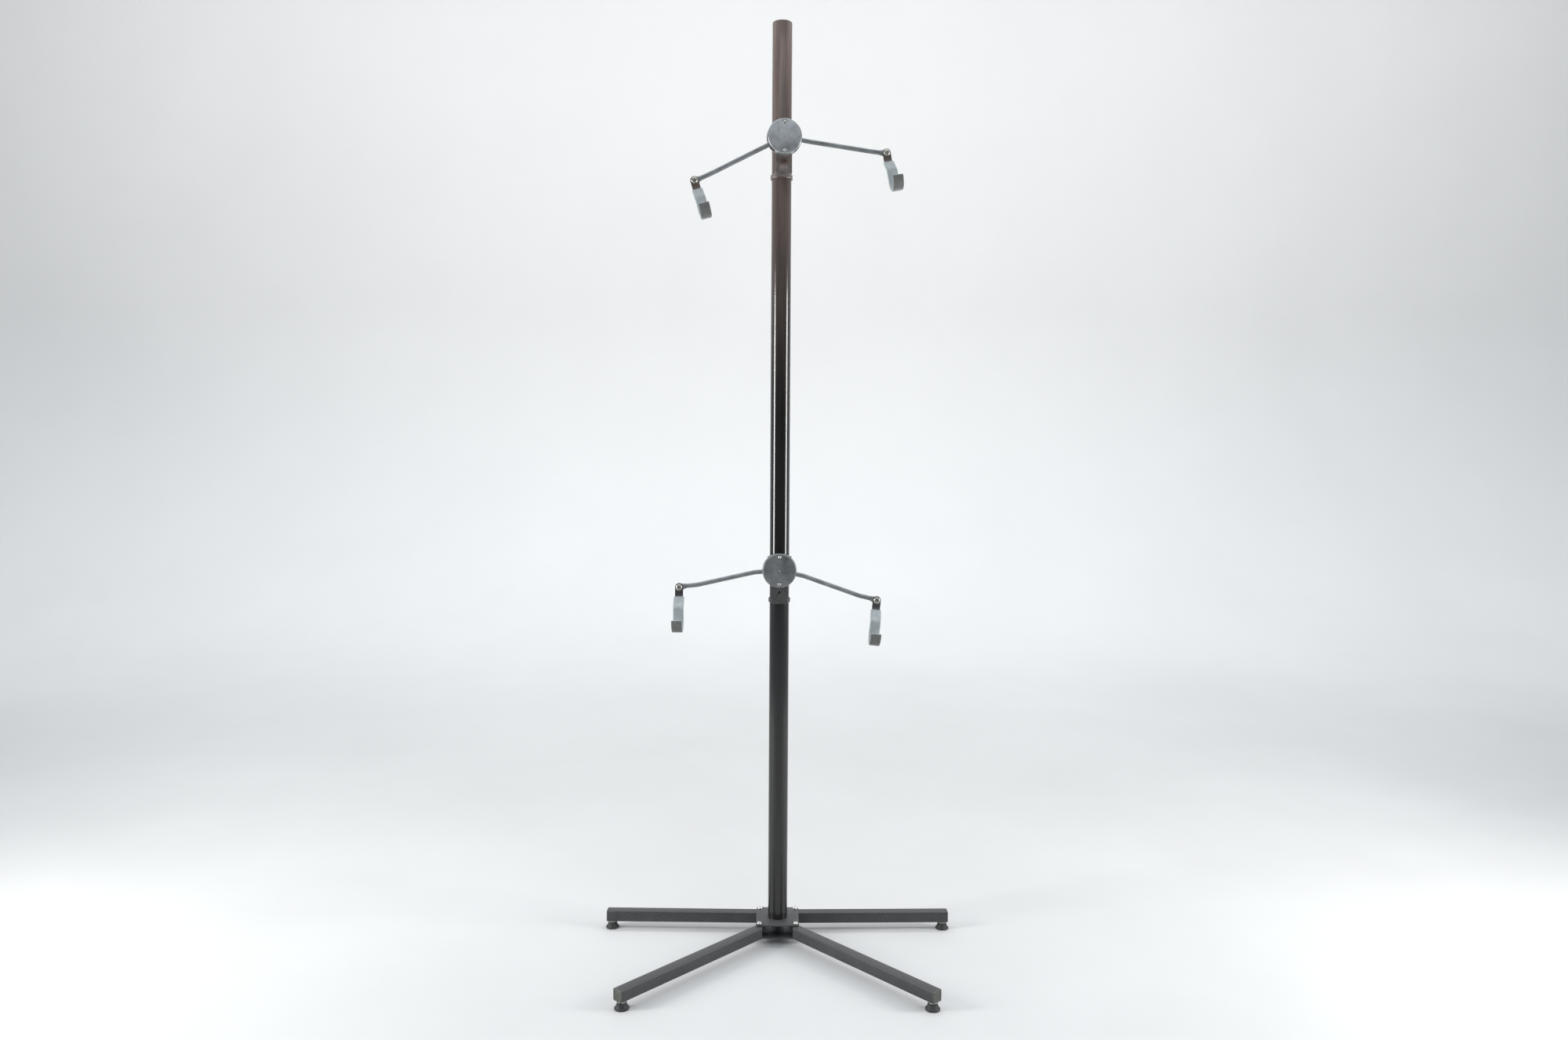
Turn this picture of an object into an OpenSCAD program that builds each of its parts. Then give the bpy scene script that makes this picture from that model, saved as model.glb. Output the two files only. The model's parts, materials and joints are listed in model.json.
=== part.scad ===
// Free-standing storage stand for two bicycles: a round pole on a four-legged base, with two
// height-adjustable cradles. Each cradle has a hub with two swinging arms that end in coated hooks.
// Origin: middle of the footprint, on the floor. +Z up, -Y is the front. Millimetres.

/* [Pole] */
// Outside diameter of the pole
pole_d = 40; // [36:1:45]
// Wall of the pole tube
pole_wall = 1.6; // [1.2:0.1:2.5]
// Height of the pole top above the floor
pole_top_z = 1863; // [1750:1:1950]

/* [Base] */
// Width of both base plates, left to right
plate_w = 88; // [84:1:100]
// Depth of both base plates, front to back
plate_depth = 92; // [90:1:110]
// Thickness of both base plates
plate_t = 3.2; // [2:0.1:5]
// Half of the distance between the leg bolts, left to right
bolt_x = 37; // [36:0.5:38]
// Half of the distance between the leg bolts, front to back
bolt_y = 38.5; // [37:0.5:40]

/* [Legs] */
// Side of the square leg tube
leg_w = 22; // [20:1:24]
// Wall of the leg tube
leg_wall = 1.5; // [1.2:0.1:2]
// Front leg, bolt to tip
front_leg_len = 375.7; // [300:0.1:450]
// Rear leg, bolt to tip
rear_leg_len = 323.2; // [280:0.1:400]
// Direction of a front leg, measured from straight forward
front_leg_deg = 42.6; // [35:0.1:50]
// Direction of a rear leg, measured from straight forward
rear_leg_deg = 91.2; // [85:0.1:100]
// How far a leg's centreline runs in front of its bolt
bolt_offset = 4.8; // [0:0.1:5]

/* [Feet] */
// Diameter of a foot pad at the floor
foot_d = 27.4; // [24:0.2:32]
// Height of the rubber foot pad
foot_h = 13.4; // [11:0.1:16]
// Thickness of the nut between pad and leg
foot_nut_t = 3; // [2:0.1:4]
// Distance of the foot's centre from the leg's tip
foot_inset = 11; // [9:0.5:20]

/* [Cradles] */
// Height of the upper hub
upper_hub_z = 1622.5; // [1500:0.5:1700]
// Height of the lower hub
lower_hub_z = 769; // [600:0.5:900]
// How far the upper cradle is turned about the pole
upper_swivel = 5.3; // [-20:0.1:20]
// How far the lower cradle is turned about the pole
lower_swivel = 0; // [-20:0.1:20]
// Diameter of the hub cap
hub_d = 68; // [60:1:76]
// Distance from the pole's axis to the face of the hub cap
hub_face = 66; // [64:0.5:70]

/* [Arms] */
// Arm rod diameter
rod_d = 9; // [8:0.5:10]
// Arm length, hub axis to hook bolt
arm_len = 201; // [150:1:250]
// How far the arm steps forward on its way out
arm_step = 18; // [0:1:24]
// Drop of each arm below level: upper left, upper right, lower left, lower right
arm_drop = [28.5, 8.9, 9.0, 16.1];
// How much flatter each arm leaves its hub, in the same order
arm_rise = [1, 0, 5, 4];

/* [Hooks] */
// Width of the bare hook strap
strap_w = 16; // [14:0.5:20]
// Thickness of the hook strap
strap_t = 3; // [2:0.1:4]
// Width of the vinyl sleeve
sleeve_w = 21; // [18:0.5:24]
// Thickness of the sleeved strap
sleeve_t = 5.5; // [4:0.1:7]
// Inner radius of the sleeved hook's throat
throat_r = 16.75; // [14:0.25:20]
// Sideways lean of each hook's lower end, in the order of the arms
hook_lean = [16, 10.4, 0.5, -6];

/* [Hidden] */
$fn = 48;
fit_gap = 0.05;          // radial clearance of every running fit
over = 1;                // how far a cut runs past the face it opens

// base stack, from the floor up
foot_top = foot_h + foot_nut_t;
bottom_plate_z = foot_top - plate_t;
top_plate_z = foot_top + leg_w;
pole_bottom_z = top_plate_z + plate_t;
plate_corner_r = 6;
leg_corner_r = 1.5;
leg_inner = leg_w - 2 * leg_wall;
leg_corner_in_r = 0.5;
mitre_x = 31;            // the front legs' inner ends are cut along this plane
rear_leg_tail = 11.5;    // how far a rear leg runs past its bolt
plug_flange = 2;
plug_depth = 5;
m6_d = 6;
m6_nut_af = 10;
m6_nut_h = 5;
m10_d = 10;
m10_head_af = 17;
m10_head_h = 6.4;
spacer_d = 25;
stud_d = 8;
stud_top_z = foot_top + leg_w - 5;
stud_in_pad = 8;
foot_neck_d = 17.6;
foot_lip_h = 2.5;
foot_nut_d = 16.4;

// footprint: the front leg tips and the rear foot pads set the middle
front_reach = bolt_y + front_leg_len * cos(front_leg_deg)
  + (bolt_offset + leg_w / 2) * sin(front_leg_deg)
  - leg_corner_r * (cos(front_leg_deg) + sin(front_leg_deg) - 1);
rear_reach = bolt_y - (rear_leg_len - foot_inset) * cos(rear_leg_deg)
  - bolt_offset * sin(rear_leg_deg) + foot_d / 2;
pole_y = (front_reach - rear_reach) / 2;

// pole fittings
pole_inner_d = pole_d - 2 * pole_wall;
cap_flange_h = 2;
cap_insert_h = 18;
foot_plug_h = 30;

// cradle, measured from the pole's axis (toward the front) and from the hub's height
bush_t = 0.8;
bush_h = 6;
bush_in_r = pole_d / 2 + fit_gap;
bush_out_r = bush_in_r + bush_t;
collar_in_r = bush_out_r + fit_gap;
collar_out_r = collar_in_r + 3.6;
band_out_r = collar_in_r + 1.5;
collar_low = -6;
collar_h = 30;
band_low = -69;
band_h = 8;
bracket_w = 32;
bracket_t = 4;
bracket_front = hub_face - 18;
bracket_low = -68;
bracket_high = 26;
hub_plate_t = 3;
hub_plate_front = bracket_front + hub_plate_t;
rivet_hole_z = -45;
rivet_hole_d = 4;

// hub
rod_plane = hub_plate_front + 6;    // the arms' common mid-plane
arm_eye_r = 11;
arm_eye_gap = 0.2;                  // each arm's eye keeps this far from their mid-plane
arm_eye_t = rod_d / 2 - 2 * arm_eye_gap;
lap_h = rod_d - 1;
washer_t = 1.5;
cap_wall = 2.5;
cap_face_t = 3;
cap_face_r = hub_d / 2 - 2.5;
cap_edge_r = 2.5;
cap_dot_d = 4;
cap_screw_z = 27;
cap_screw_d = 4;
cap_screw_head_d = 7.2;
cap_screw_head_h = 1.6;
cap_boss_d = 8;
arm_low_deg = -45;                  // lowest and highest direction of an arm at its root
arm_high_deg = 15;
window_margin_deg = 9.5;
window_front = rod_plane + rod_d / 2 + 0.4;
pivot_d = 8;
pivot_nut_af = 13;
pivot_nut_h = 6.5;
pivot_nub = 0.6;

// clamp behind the pole
clamp_z = collar_low + collar_h / 2;
clamp_boss_d = 18;
clamp_boss_end = 33.5;
pad_d = 10.5;
pad_t = 3;
pad_bore_end = 27;
pad_face_r = pole_d / 2 + fit_gap;
knob_start = 34.5;
knob_h = 14;
knob_d = 34;
knob_lobes = 6;
knob_scallop_d = 11;

// arm route: along the arm, up, and forward of the hub's rod plane
arm_root_len = 50;
arm_end_len = 36;
arm_end_dip = 1.5;
arm_tip_r = 8;
arm_tip_t = 4;
arm_tip_back = 1;                   // the flat eye's back face, forward of the rod's centreline
lap_len = 16;
lap_gap = 2;
lap_inset = 0.15;                   // the lap bar is a little thinner than its eye
bend_lap = 1.5;                     // how far two lengths of a rod run past their bend

// hook, seen from its side: forward and up from its bolt
hook_plane = arm_step + arm_tip_back + arm_tip_t + strap_t / 2;
throat_c = throat_r + sleeve_t / 2; // centreline radius of the hook's bend
back_fwd = 20.5;                    // how far forward the hook's back stands
bend_z = -61.75;
slope_top_z = -16;
slope_low_z = -39;
sleeve_top_z = -19;
tip_z = -57.8;
hook_head_d = 13.5;
hook_head_h = 3.4;
steel_dark = [0.17, 0.17, 0.18];
steel_grey = [0.48, 0.50, 0.52];
zinc = [0.78, 0.79, 0.80];
black_rubber = [0.08, 0.08, 0.08];

CRADLES = [[upper_hub_z, upper_swivel], [lower_hub_z, lower_swivel]];

// ---------- helpers ----------

// moves the drawing from the pole's axis to the middle of the footprint
module on_pole() {
  translate([0, pole_y, 0]) children();
}

// cradle 0 is the upper one and 1 the lower one
module on_cradle(cradle) {
  on_pole() translate([0, 0, CRADLES[cradle][0]]) rotate([0, 0, CRADLES[cradle][1]]) children();
}

// a cylinder that points forward, from one distance in front of the pole's axis to another
module forward_cyl(d, from, to) {
  translate([0, -from, 0]) rotate([90, 0, 0]) cylinder(d = d, h = to - from);
}

// a cylinder that points backward, between two distances behind the pole's axis
module backward_cyl(d, from, to) {
  translate([0, to, 0]) rotate([90, 0, 0]) cylinder(d = d, h = to - from);
}

module rounded_square(w, d, r) {
  square([w - 2 * r, d], center = true);
  square([w, d - 2 * r], center = true);
  for (x = [-1, 1], y = [-1, 1]) {
    translate([x * (w / 2 - r), y * (d / 2 - r)]) circle(r);
  }
}

module hex(af, h) {
  cylinder(d = af / cos(30), h = h, $fn = 6);
}

module ring(r_out, r_in, h) {
  difference() {
    cylinder(r = r_out, h = h);
    translate([0, 0, -over]) cylinder(r = r_in, h = h + 2 * over);
  }
}

// a line of even width through points, with round joints and ends
module stroke(points, w) {
  for (i = [0 : len(points) - 1]) {
    translate(points[i]) circle(d = w);
  }
  for (i = [0 : len(points) - 2]) {
    run = points[i + 1] - points[i];
    translate(points[i]) rotate(atan2(run[1], run[0])) {
      translate([0, -w / 2]) square([norm(run), w]);
    }
  }
}

// a round rod through points in space
module rod(points, d) {
  last = len(points) - 2;
  for (i = [0 : last]) {
    run = points[i + 1] - points[i];
    before = i == 0 ? 0 : bend_lap;
    after = i == last ? 0 : bend_lap;
    translate(points[i]) rotate([0, acos(run[2] / norm(run)), atan2(run[1], run[0])]) {
      translate([0, 0, -before]) cylinder(d = d, h = norm(run) + before + after);
    }
  }
}

module at_base_bolts() {
  on_pole() for (x = [-1, 1], y = [-1, 1]) {
    translate([x * bolt_x, y * bolt_y, 0]) children();
  }
}

// ---------- pole ----------

module pole() {
  color(steel_dark) on_pole() translate([0, 0, pole_bottom_z]) {
    ring(pole_d / 2, pole_inner_d / 2, pole_top_z - cap_flange_h - pole_bottom_z);
  }
}

module pole_top_cap() {
  color(black_rubber) on_pole() translate([0, 0, pole_top_z - cap_flange_h]) {
    cylinder(d = pole_d, h = cap_flange_h);
    translate([0, 0, -cap_insert_h]) cylinder(d = pole_inner_d, h = cap_insert_h + over);
  }
}

module pole_foot_plug() {
  color(steel_grey) on_pole() translate([0, 0, pole_bottom_z]) {
    ring(pole_inner_d / 2, m10_d / 2, foot_plug_h);
  }
}

module centre_bolt() {
  color(zinc) on_pole() {
    translate([0, 0, bottom_plate_z - m10_head_h]) hex(m10_head_af, m10_head_h);
    translate([0, 0, bottom_plate_z - over]) {
      cylinder(d = m10_d, h = pole_bottom_z + foot_plug_h - bottom_plate_z);
    }
  }
}

// ---------- base ----------

module base_plate() {
  difference() {
    linear_extrude(plate_t) rounded_square(plate_w, plate_depth, plate_corner_r);
    translate([0, 0, -over]) cylinder(d = m10_d, h = plate_t + 2 * over);
    for (x = [-1, 1], y = [-1, 1]) {
      translate([x * bolt_x, y * bolt_y, -over]) cylinder(d = m6_d, h = plate_t + 2 * over);
    }
  }
}

module base_top_plate() {
  color(steel_dark) on_pole() translate([0, 0, top_plate_z]) base_plate();
}

module base_bottom_plate() {
  color(steel_dark) on_pole() translate([0, 0, bottom_plate_z]) base_plate();
}

module base_spacer() {
  color(steel_dark) on_pole() translate([0, 0, foot_top]) ring(spacer_d / 2, m10_d / 2, leg_w);
}

module base_bolts() {
  head_r = 5;
  head_h = 4;
  end_z = bottom_plate_z - m6_nut_h - 1;
  color(zinc) at_base_bolts() {
    translate([0, 0, end_z]) cylinder(d = m6_d, h = pole_bottom_z + over - end_z);
    translate([0, 0, pole_bottom_z]) {
      cylinder(r = head_r, h = head_h - 1);
      translate([0, 0, head_h - 1]) cylinder(r1 = head_r, r2 = head_r - 1.5, h = 1, $fn = 48);
    }
  }
}

module base_nuts() {
  color(zinc) at_base_bolts() translate([0, 0, bottom_plate_z - m6_nut_h]) difference() {
    hex(m6_nut_af, m6_nut_h);
    translate([0, 0, -over]) cylinder(d = m6_d, h = m6_nut_h + 2 * over);
  }
}

// ---------- legs and feet ----------
// side is -1 on the left and 1 on the right. A leg is drawn along +X from its bolt, with the
// front of the leg at -Y for the right side, and is then turned to its own direction.

module at_leg(side, front) {
  turn = front ? front_leg_deg : rear_leg_deg;
  on_pole() translate([side * bolt_x, (front ? -1 : 1) * bolt_y, 0]) {
    if (side > 0) {
      rotate([0, 0, turn - 90]) children();
    } else {
      mirror([1, 0, 0]) rotate([0, 0, turn - 90]) children();
    }
  }
}

function leg_len(front) = front ? front_leg_len : rear_leg_len;

module leg(side, front) {
  tube_end = leg_len(front) - plug_flange;
  tube_start = front ? -3 * leg_w / 2 : -rear_leg_tail;
  color(steel_dark) at_leg(side, front) difference() {
    translate([tube_start, -bolt_offset, foot_top + leg_w / 2]) rotate([90, 0, 90]) {
      linear_extrude(tube_end - tube_start) difference() {
        rounded_square(leg_w, leg_w, leg_corner_r);
        rounded_square(leg_inner, leg_inner, leg_corner_in_r);
      }
    }
    translate([0, 0, foot_top - over]) cylinder(d = m6_d + 2 * fit_gap, h = leg_w + 2 * over);
    translate([leg_len(front) - foot_inset, -bolt_offset, foot_top - over]) {
      cylinder(d = stud_d + 2 * fit_gap, h = leg_wall + 2 * over);
    }
    if (front) {
      rotate([0, 0, 90 - front_leg_deg]) translate([mitre_x - bolt_x - 3 * leg_w, -2 * leg_w, 0]) {
        cube([3 * leg_w, 4 * leg_w, top_plate_z + over]);
      }
    }
  }
}

module leg_plug(side, front) {
  color([0.30, 0.31, 0.28]) at_leg(side, front) {
    translate([leg_len(front) - plug_flange, -bolt_offset, foot_top + leg_w / 2]) {
      rotate([90, 0, 90]) {
        linear_extrude(plug_flange) rounded_square(leg_w, leg_w, leg_corner_r);
        translate([0, 0, -plug_depth]) linear_extrude(plug_depth + plug_flange / 2) {
          rounded_square(leg_inner, leg_inner, leg_corner_in_r);
        }
      }
    }
  }
}

module at_foot(side, front) {
  at_leg(side, front) translate([leg_len(front) - foot_inset, -bolt_offset, 0]) children();
}

module foot_pad(side, front) {
  color(black_rubber) at_foot(side, front) difference() {
    rotate_extrude() polygon([
      [0, 0], [foot_d / 2 - 0.5, 0], [foot_d / 2, 0.5], [foot_d / 2, foot_lip_h],
      [foot_d / 2 - 1.6, foot_lip_h + 1.4], [foot_neck_d / 2 + 0.6, foot_h - 2.5],
      [foot_neck_d / 2, foot_h], [0, foot_h]
    ]);
    translate([0, 0, foot_h - stud_in_pad]) cylinder(d = stud_d, h = stud_in_pad + over);
  }
}

module foot_stud(side, front) {
  color(zinc) at_foot(side, front) {
    translate([0, 0, foot_h - stud_in_pad]) {
      cylinder(d = stud_d, h = stud_top_z - foot_h + stud_in_pad);
    }
    translate([0, 0, foot_h]) cylinder(d = foot_nut_d, h = foot_nut_t);
  }
}

// ---------- cradle: clamp and bracket ----------

module bushes(cradle) {
  color([0.85, 0.85, 0.82]) on_cradle(cradle) {
    for (z = [collar_low, collar_low + collar_h - bush_h, band_low + 1]) {
      translate([0, 0, z]) ring(bush_out_r, bush_in_r, bush_h);
    }
  }
}

module bracket(cradle) {
  color(steel_grey) on_cradle(cradle) difference() {
    union() {
      translate([-bracket_w / 2, -bracket_front, bracket_low]) {
        cube([bracket_w, bracket_t, bracket_high - bracket_low]);
        cube([bracket_w, bracket_front, bracket_t]);
      }
      translate([-bracket_w / 2, -bracket_front, bracket_high - 2 * bracket_t]) {
        cube([bracket_w, bracket_front, bracket_t]);
      }
      translate([0, 0, collar_low]) cylinder(r = collar_out_r, h = collar_h);
      translate([0, 0, band_low]) cylinder(r = band_out_r, h = band_h);
      translate([0, 0, clamp_z]) backward_cyl(clamp_boss_d, 0, clamp_boss_end);
      forward_cyl(hub_d + 0.8, bracket_front - over, hub_plate_front);
    }
    translate([0, 0, band_low - over]) {
      cylinder(r = collar_in_r, h = collar_low + collar_h - band_low + 2 * over);
    }
    translate([0, 0, clamp_z]) {
      backward_cyl(pad_d + 2 * fit_gap, 0, pad_bore_end);
      backward_cyl(stud_d + 2 * fit_gap, pad_bore_end - over, clamp_boss_end + over);
    }
    forward_cyl(pivot_d, bracket_front - bracket_t - over, hub_plate_front + over);
    translate([0, 0, rivet_hole_z]) {
      forward_cyl(rivet_hole_d, bracket_front - bracket_t - over, bracket_front + over);
    }
    for (z = [-1, 1]) translate([0, 0, z * cap_screw_z]) {
      forward_cyl(cap_screw_d, bracket_front - bracket_t - over, hub_plate_front + over);
    }
  }
}

module clamp_pad(cradle) {
  color([0.85, 0.85, 0.82]) on_cradle(cradle) difference() {
    translate([0, 0, clamp_z]) backward_cyl(pad_d, pole_d / 2 - over, pad_face_r + pad_t);
    translate([0, 0, collar_low]) cylinder(r = pad_face_r, h = collar_h);
  }
}

module clamp_screw(cradle) {
  color(zinc) on_cradle(cradle) translate([0, 0, clamp_z]) {
    backward_cyl(stud_d, pad_face_r + pad_t, knob_start + knob_h / 2);
  }
}

module clamp_knob(cradle) {
  color(black_rubber) on_cradle(cradle) translate([0, 0, clamp_z]) difference() {
    backward_cyl(knob_d, knob_start, knob_start + knob_h);
    backward_cyl(stud_d, knob_start - over, knob_start + knob_h / 2);
    for (i = [0 : knob_lobes - 1]) rotate([0, (i + 0.5) * 360 / knob_lobes, 0]) {
      translate([0, 0, knob_d / 2 + knob_scallop_d / 4]) {
        backward_cyl(knob_scallop_d, knob_start - over, knob_start + knob_h + over);
      }
    }
  }
}

// ---------- cradle: hub ----------

module window_sector() {
  reach = hub_d;
  low = arm_low_deg - window_margin_deg;
  high = arm_high_deg + window_margin_deg;
  polygon([
    [0, 0],
    for (i = [0 : 4]) let (a = low + (high - low) * i / 4) reach * [cos(a), sin(a)]
  ]);
}

module hub_cap(cradle) {
  depth = hub_face - hub_plate_front;
  inner_r = hub_d / 2 - cap_wall;
  color(steel_grey) on_cradle(cradle) difference() {
    union() {
      difference() {
        translate([0, -hub_plate_front, 0]) rotate([90, 0, 0]) rotate_extrude() {
          square([hub_d / 2, depth - cap_edge_r]);
          square([cap_face_r, depth]);
          translate([cap_face_r, depth - cap_edge_r]) intersection() {
            circle(cap_edge_r);
            square(cap_edge_r);
          }
        }
        forward_cyl(2 * inner_r, hub_plate_front - over, hub_face - cap_face_t);
        translate([0, -hub_plate_front + over, 0]) rotate([90, 0, 0]) {
          linear_extrude(window_front - hub_plate_front + over) {
            window_sector();
            mirror([1, 0]) window_sector();
          }
        }
      }
      for (z = [-1, 1]) translate([0, 0, z * cap_screw_z]) {
        forward_cyl(cap_boss_d, hub_plate_front, hub_face - cap_face_t + over);
      }
    }
    forward_cyl(cap_dot_d, hub_face - cap_face_t - over, hub_face + over);
    for (z = [-1, 1]) translate([0, 0, z * cap_screw_z]) {
      forward_cyl(cap_screw_d, hub_plate_front - over, hub_face + over);
    }
  }
}

module hub_screws(cradle) {
  color(zinc) on_cradle(cradle) for (z = [-1, 1]) translate([0, 0, z * cap_screw_z]) {
    forward_cyl(cap_screw_d, bracket_front - bracket_t, hub_face + cap_screw_head_h / 2);
    forward_cyl(cap_screw_head_d, hub_face, hub_face + cap_screw_head_h);
  }
}

module hub_washers(cradle) {
  starts = [hub_plate_front, hub_face - cap_face_t - washer_t];
  color(zinc) on_cradle(cradle) for (start = starts) difference() {
    forward_cyl(2 * arm_eye_r, start, start + washer_t);
    forward_cyl(pivot_d, start - over, start + washer_t + over);
  }
}

module pivot_bolt(cradle) {
  nut_end = bracket_front - bracket_t;
  color(zinc) on_cradle(cradle) {
    forward_cyl(pivot_d, nut_end - pivot_nut_h - 2, hub_face - cap_face_t);
    forward_cyl(cap_dot_d, hub_face - cap_face_t - over, hub_face + pivot_nub);
    translate([0, -nut_end + pivot_nut_h, 0]) rotate([90, 0, 0]) hex(pivot_nut_af, pivot_nut_h);
  }
}

// ---------- cradle: arms and hooks ----------
// arm 0 is the upper left, 1 the upper right, 2 the lower left and 3 the lower right

function cradle_of(arm) = floor(arm / 2);
function side_of(arm) = arm % 2 == 0 ? -1 : 1;

// draws on the right side, with +X out along the arm, and mirrors it for a left arm
module on_arm(arm) {
  on_cradle(cradle_of(arm)) {
    if (side_of(arm) > 0) {
      rotate([0, arm_drop[arm], 0]) children();
    } else {
      mirror([1, 0, 0]) rotate([0, arm_drop[arm], 0]) children();
    }
  }
}

module arm(arm) {
  rise = arm_rise[arm];
  lap_front = rod_plane + (side_of(arm) < 0 ? arm_eye_gap + arm_eye_t : -arm_eye_gap);
  root_from = (arm_eye_r + lap_gap) * [cos(rise), sin(rise)];
  root_end = arm_root_len * [cos(rise), sin(rise)];
  tip_from = arm_len - arm_end_len;
  tip_to = arm_len - arm_tip_r + 1;
  color(steel_grey) on_arm(arm) difference() {
    union() {
      forward_cyl(2 * arm_eye_r, lap_front - arm_eye_t, lap_front);
      rotate([0, -rise, 0]) {
        translate([0, lap_inset - lap_front, -lap_h / 2]) {
          cube([lap_len, arm_eye_t - 2 * lap_inset, lap_h]);
        }
      }
      rod([
        [root_from[0], -rod_plane, root_from[1]],
        [root_end[0], -rod_plane, root_end[1]],
        [tip_from, -rod_plane - arm_step, -arm_end_dip],
        [tip_to, -rod_plane - arm_step, 0]
      ], rod_d);
      translate([arm_len, 0, 0]) {
        forward_cyl(2 * arm_tip_r, rod_plane + arm_step + arm_tip_back,
          rod_plane + arm_step + arm_tip_back + arm_tip_t);
      }
    }
    forward_cyl(pivot_d + 2 * fit_gap, rod_plane - rod_d, rod_plane + rod_d);
    translate([arm_len, 0, 0]) forward_cyl(m6_d, rod_plane, rod_plane + 2 * arm_step);
    translate([arm_len - arm_tip_r - over, -rod_plane - arm_step - arm_tip_back, -arm_tip_r]) {
      cube([2 * arm_tip_r + 2 * over, rod_d, 2 * arm_tip_r]);
    }
  }
}

// places a hook: bolt at the origin, +X to the right, forward is -Y
module on_hook(arm) {
  on_arm(arm) translate([arm_len, -rod_plane - hook_plane, 0]) {
    rotate([0, -arm_drop[arm] - side_of(arm) * hook_lean[arm], 0]) children();
  }
}

// side view of the hook at a given thickness: +X is forward here and +Y is up
module hook_side(w, top_z) {
  stroke([[0, top_z], [0, slope_top_z], [back_fwd, slope_low_z], [back_fwd, bend_z]], w);
  translate([back_fwd + throat_c, bend_z]) difference() {
    circle(throat_c + w / 2, $fn = 96);
    circle(throat_c - w / 2, $fn = 96);
    translate([-2 * throat_c, 0]) square([4 * throat_c, 2 * throat_c]);
  }
  stroke([[back_fwd + 2 * throat_c, bend_z], [back_fwd + 2 * throat_c, tip_z - w / 2]], w);
}

// extrudes a side view across the hook's width
module across(w) {
  translate([-w / 2, 0, 0]) rotate([90, 0, 90]) linear_extrude(w) mirror([1, 0]) children();
}

module strap_solid() {
  across(strap_w) hook_side(strap_t, 0);
  forward_cyl(strap_w, -strap_t / 2, strap_t / 2);
}

module hook_strap(arm) {
  color([0.26, 0.20, 0.18]) on_hook(arm) difference() {
    strap_solid();
    translate([-strap_w, -strap_w, strap_w / 2]) cube(2 * strap_w);
    forward_cyl(m6_d + 2 * fit_gap, -strap_t, strap_t);
  }
}

module hook_sleeve(arm) {
  color([0.62, 0.67, 0.69]) on_hook(arm) difference() {
    across(sleeve_w) hook_side(sleeve_t, sleeve_top_z);
    across(strap_w) hook_side(strap_t, 0);
    translate([-sleeve_w, -2 * sleeve_w, sleeve_top_z]) cube([2 * sleeve_w, 4 * sleeve_w, sleeve_w]);
  }
}

module hook_bolt(arm) {
  nut_front = -strap_t / 2 - arm_tip_t;
  color(zinc) on_hook(arm) {
    forward_cyl(m6_d, nut_front - m6_nut_h - 1, strap_t / 2 + over);
    forward_cyl(hook_head_d, strap_t / 2, strap_t / 2 + hook_head_h);
    translate([0, -nut_front + m6_nut_h, 0]) rotate([90, 0, 0]) hex(m6_nut_af, m6_nut_h);
  }
}

// ---------- nodes ----------

pole();
pole_top_cap();
pole_foot_plug();
centre_bolt();
base_top_plate();
base_bottom_plate();
base_spacer();
base_bolts();
base_nuts();

for (side = [-1, 1], front = [true, false]) {
  name = str(front ? "front_" : "rear_", side < 0 ? "left_" : "right_");
  leg(side, front);
  leg_plug(side, front);
  foot_stud(side, front);
  foot_pad(side, front);
}

for (cradle = [0, 1]) {
  name = cradle == 0 ? "upper_" : "lower_";
  bushes(cradle);
  bracket(cradle);
  clamp_pad(cradle);
  clamp_screw(cradle);
  clamp_knob(cradle);
  hub_cap(cradle);
  hub_screws(cradle);
  hub_washers(cradle);
  pivot_bolt(cradle);
}

for (arm = [0 : 3]) {
  name = str(cradle_of(arm) == 0 ? "upper_" : "lower_", side_of(arm) < 0 ? "left_" : "right_");
  arm(arm);
  hook_strap(arm);
  hook_sleeve(arm);
  hook_bolt(arm);
}
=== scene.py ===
"""Finished pieces, materials and studio for a bicycle storage stand, on its CAD frame."""

import json
import math

import bmesh
import bpy
from bpy.props import FloatProperty, FloatVectorProperty, PointerProperty
from mathutils import Matrix, Vector

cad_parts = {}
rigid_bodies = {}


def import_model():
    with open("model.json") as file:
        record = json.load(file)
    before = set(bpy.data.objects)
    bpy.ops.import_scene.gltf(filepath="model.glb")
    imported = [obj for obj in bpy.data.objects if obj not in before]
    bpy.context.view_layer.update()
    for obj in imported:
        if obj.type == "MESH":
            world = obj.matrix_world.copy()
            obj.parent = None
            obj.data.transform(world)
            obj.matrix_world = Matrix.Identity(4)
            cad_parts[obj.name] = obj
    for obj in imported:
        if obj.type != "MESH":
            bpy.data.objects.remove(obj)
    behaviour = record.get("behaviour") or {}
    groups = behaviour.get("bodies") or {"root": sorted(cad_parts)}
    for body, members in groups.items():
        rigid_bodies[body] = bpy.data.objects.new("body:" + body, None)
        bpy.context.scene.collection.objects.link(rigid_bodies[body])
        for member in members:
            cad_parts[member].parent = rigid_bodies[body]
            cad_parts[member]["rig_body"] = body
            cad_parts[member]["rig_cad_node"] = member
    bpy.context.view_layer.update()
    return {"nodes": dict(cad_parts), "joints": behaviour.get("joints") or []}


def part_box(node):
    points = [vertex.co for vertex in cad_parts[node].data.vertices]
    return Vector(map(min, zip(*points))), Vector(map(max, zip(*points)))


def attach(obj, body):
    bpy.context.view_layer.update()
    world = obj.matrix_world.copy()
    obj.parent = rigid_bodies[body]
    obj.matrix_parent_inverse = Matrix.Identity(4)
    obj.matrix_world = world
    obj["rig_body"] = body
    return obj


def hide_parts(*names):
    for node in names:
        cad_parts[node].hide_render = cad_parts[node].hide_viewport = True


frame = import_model()

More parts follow.
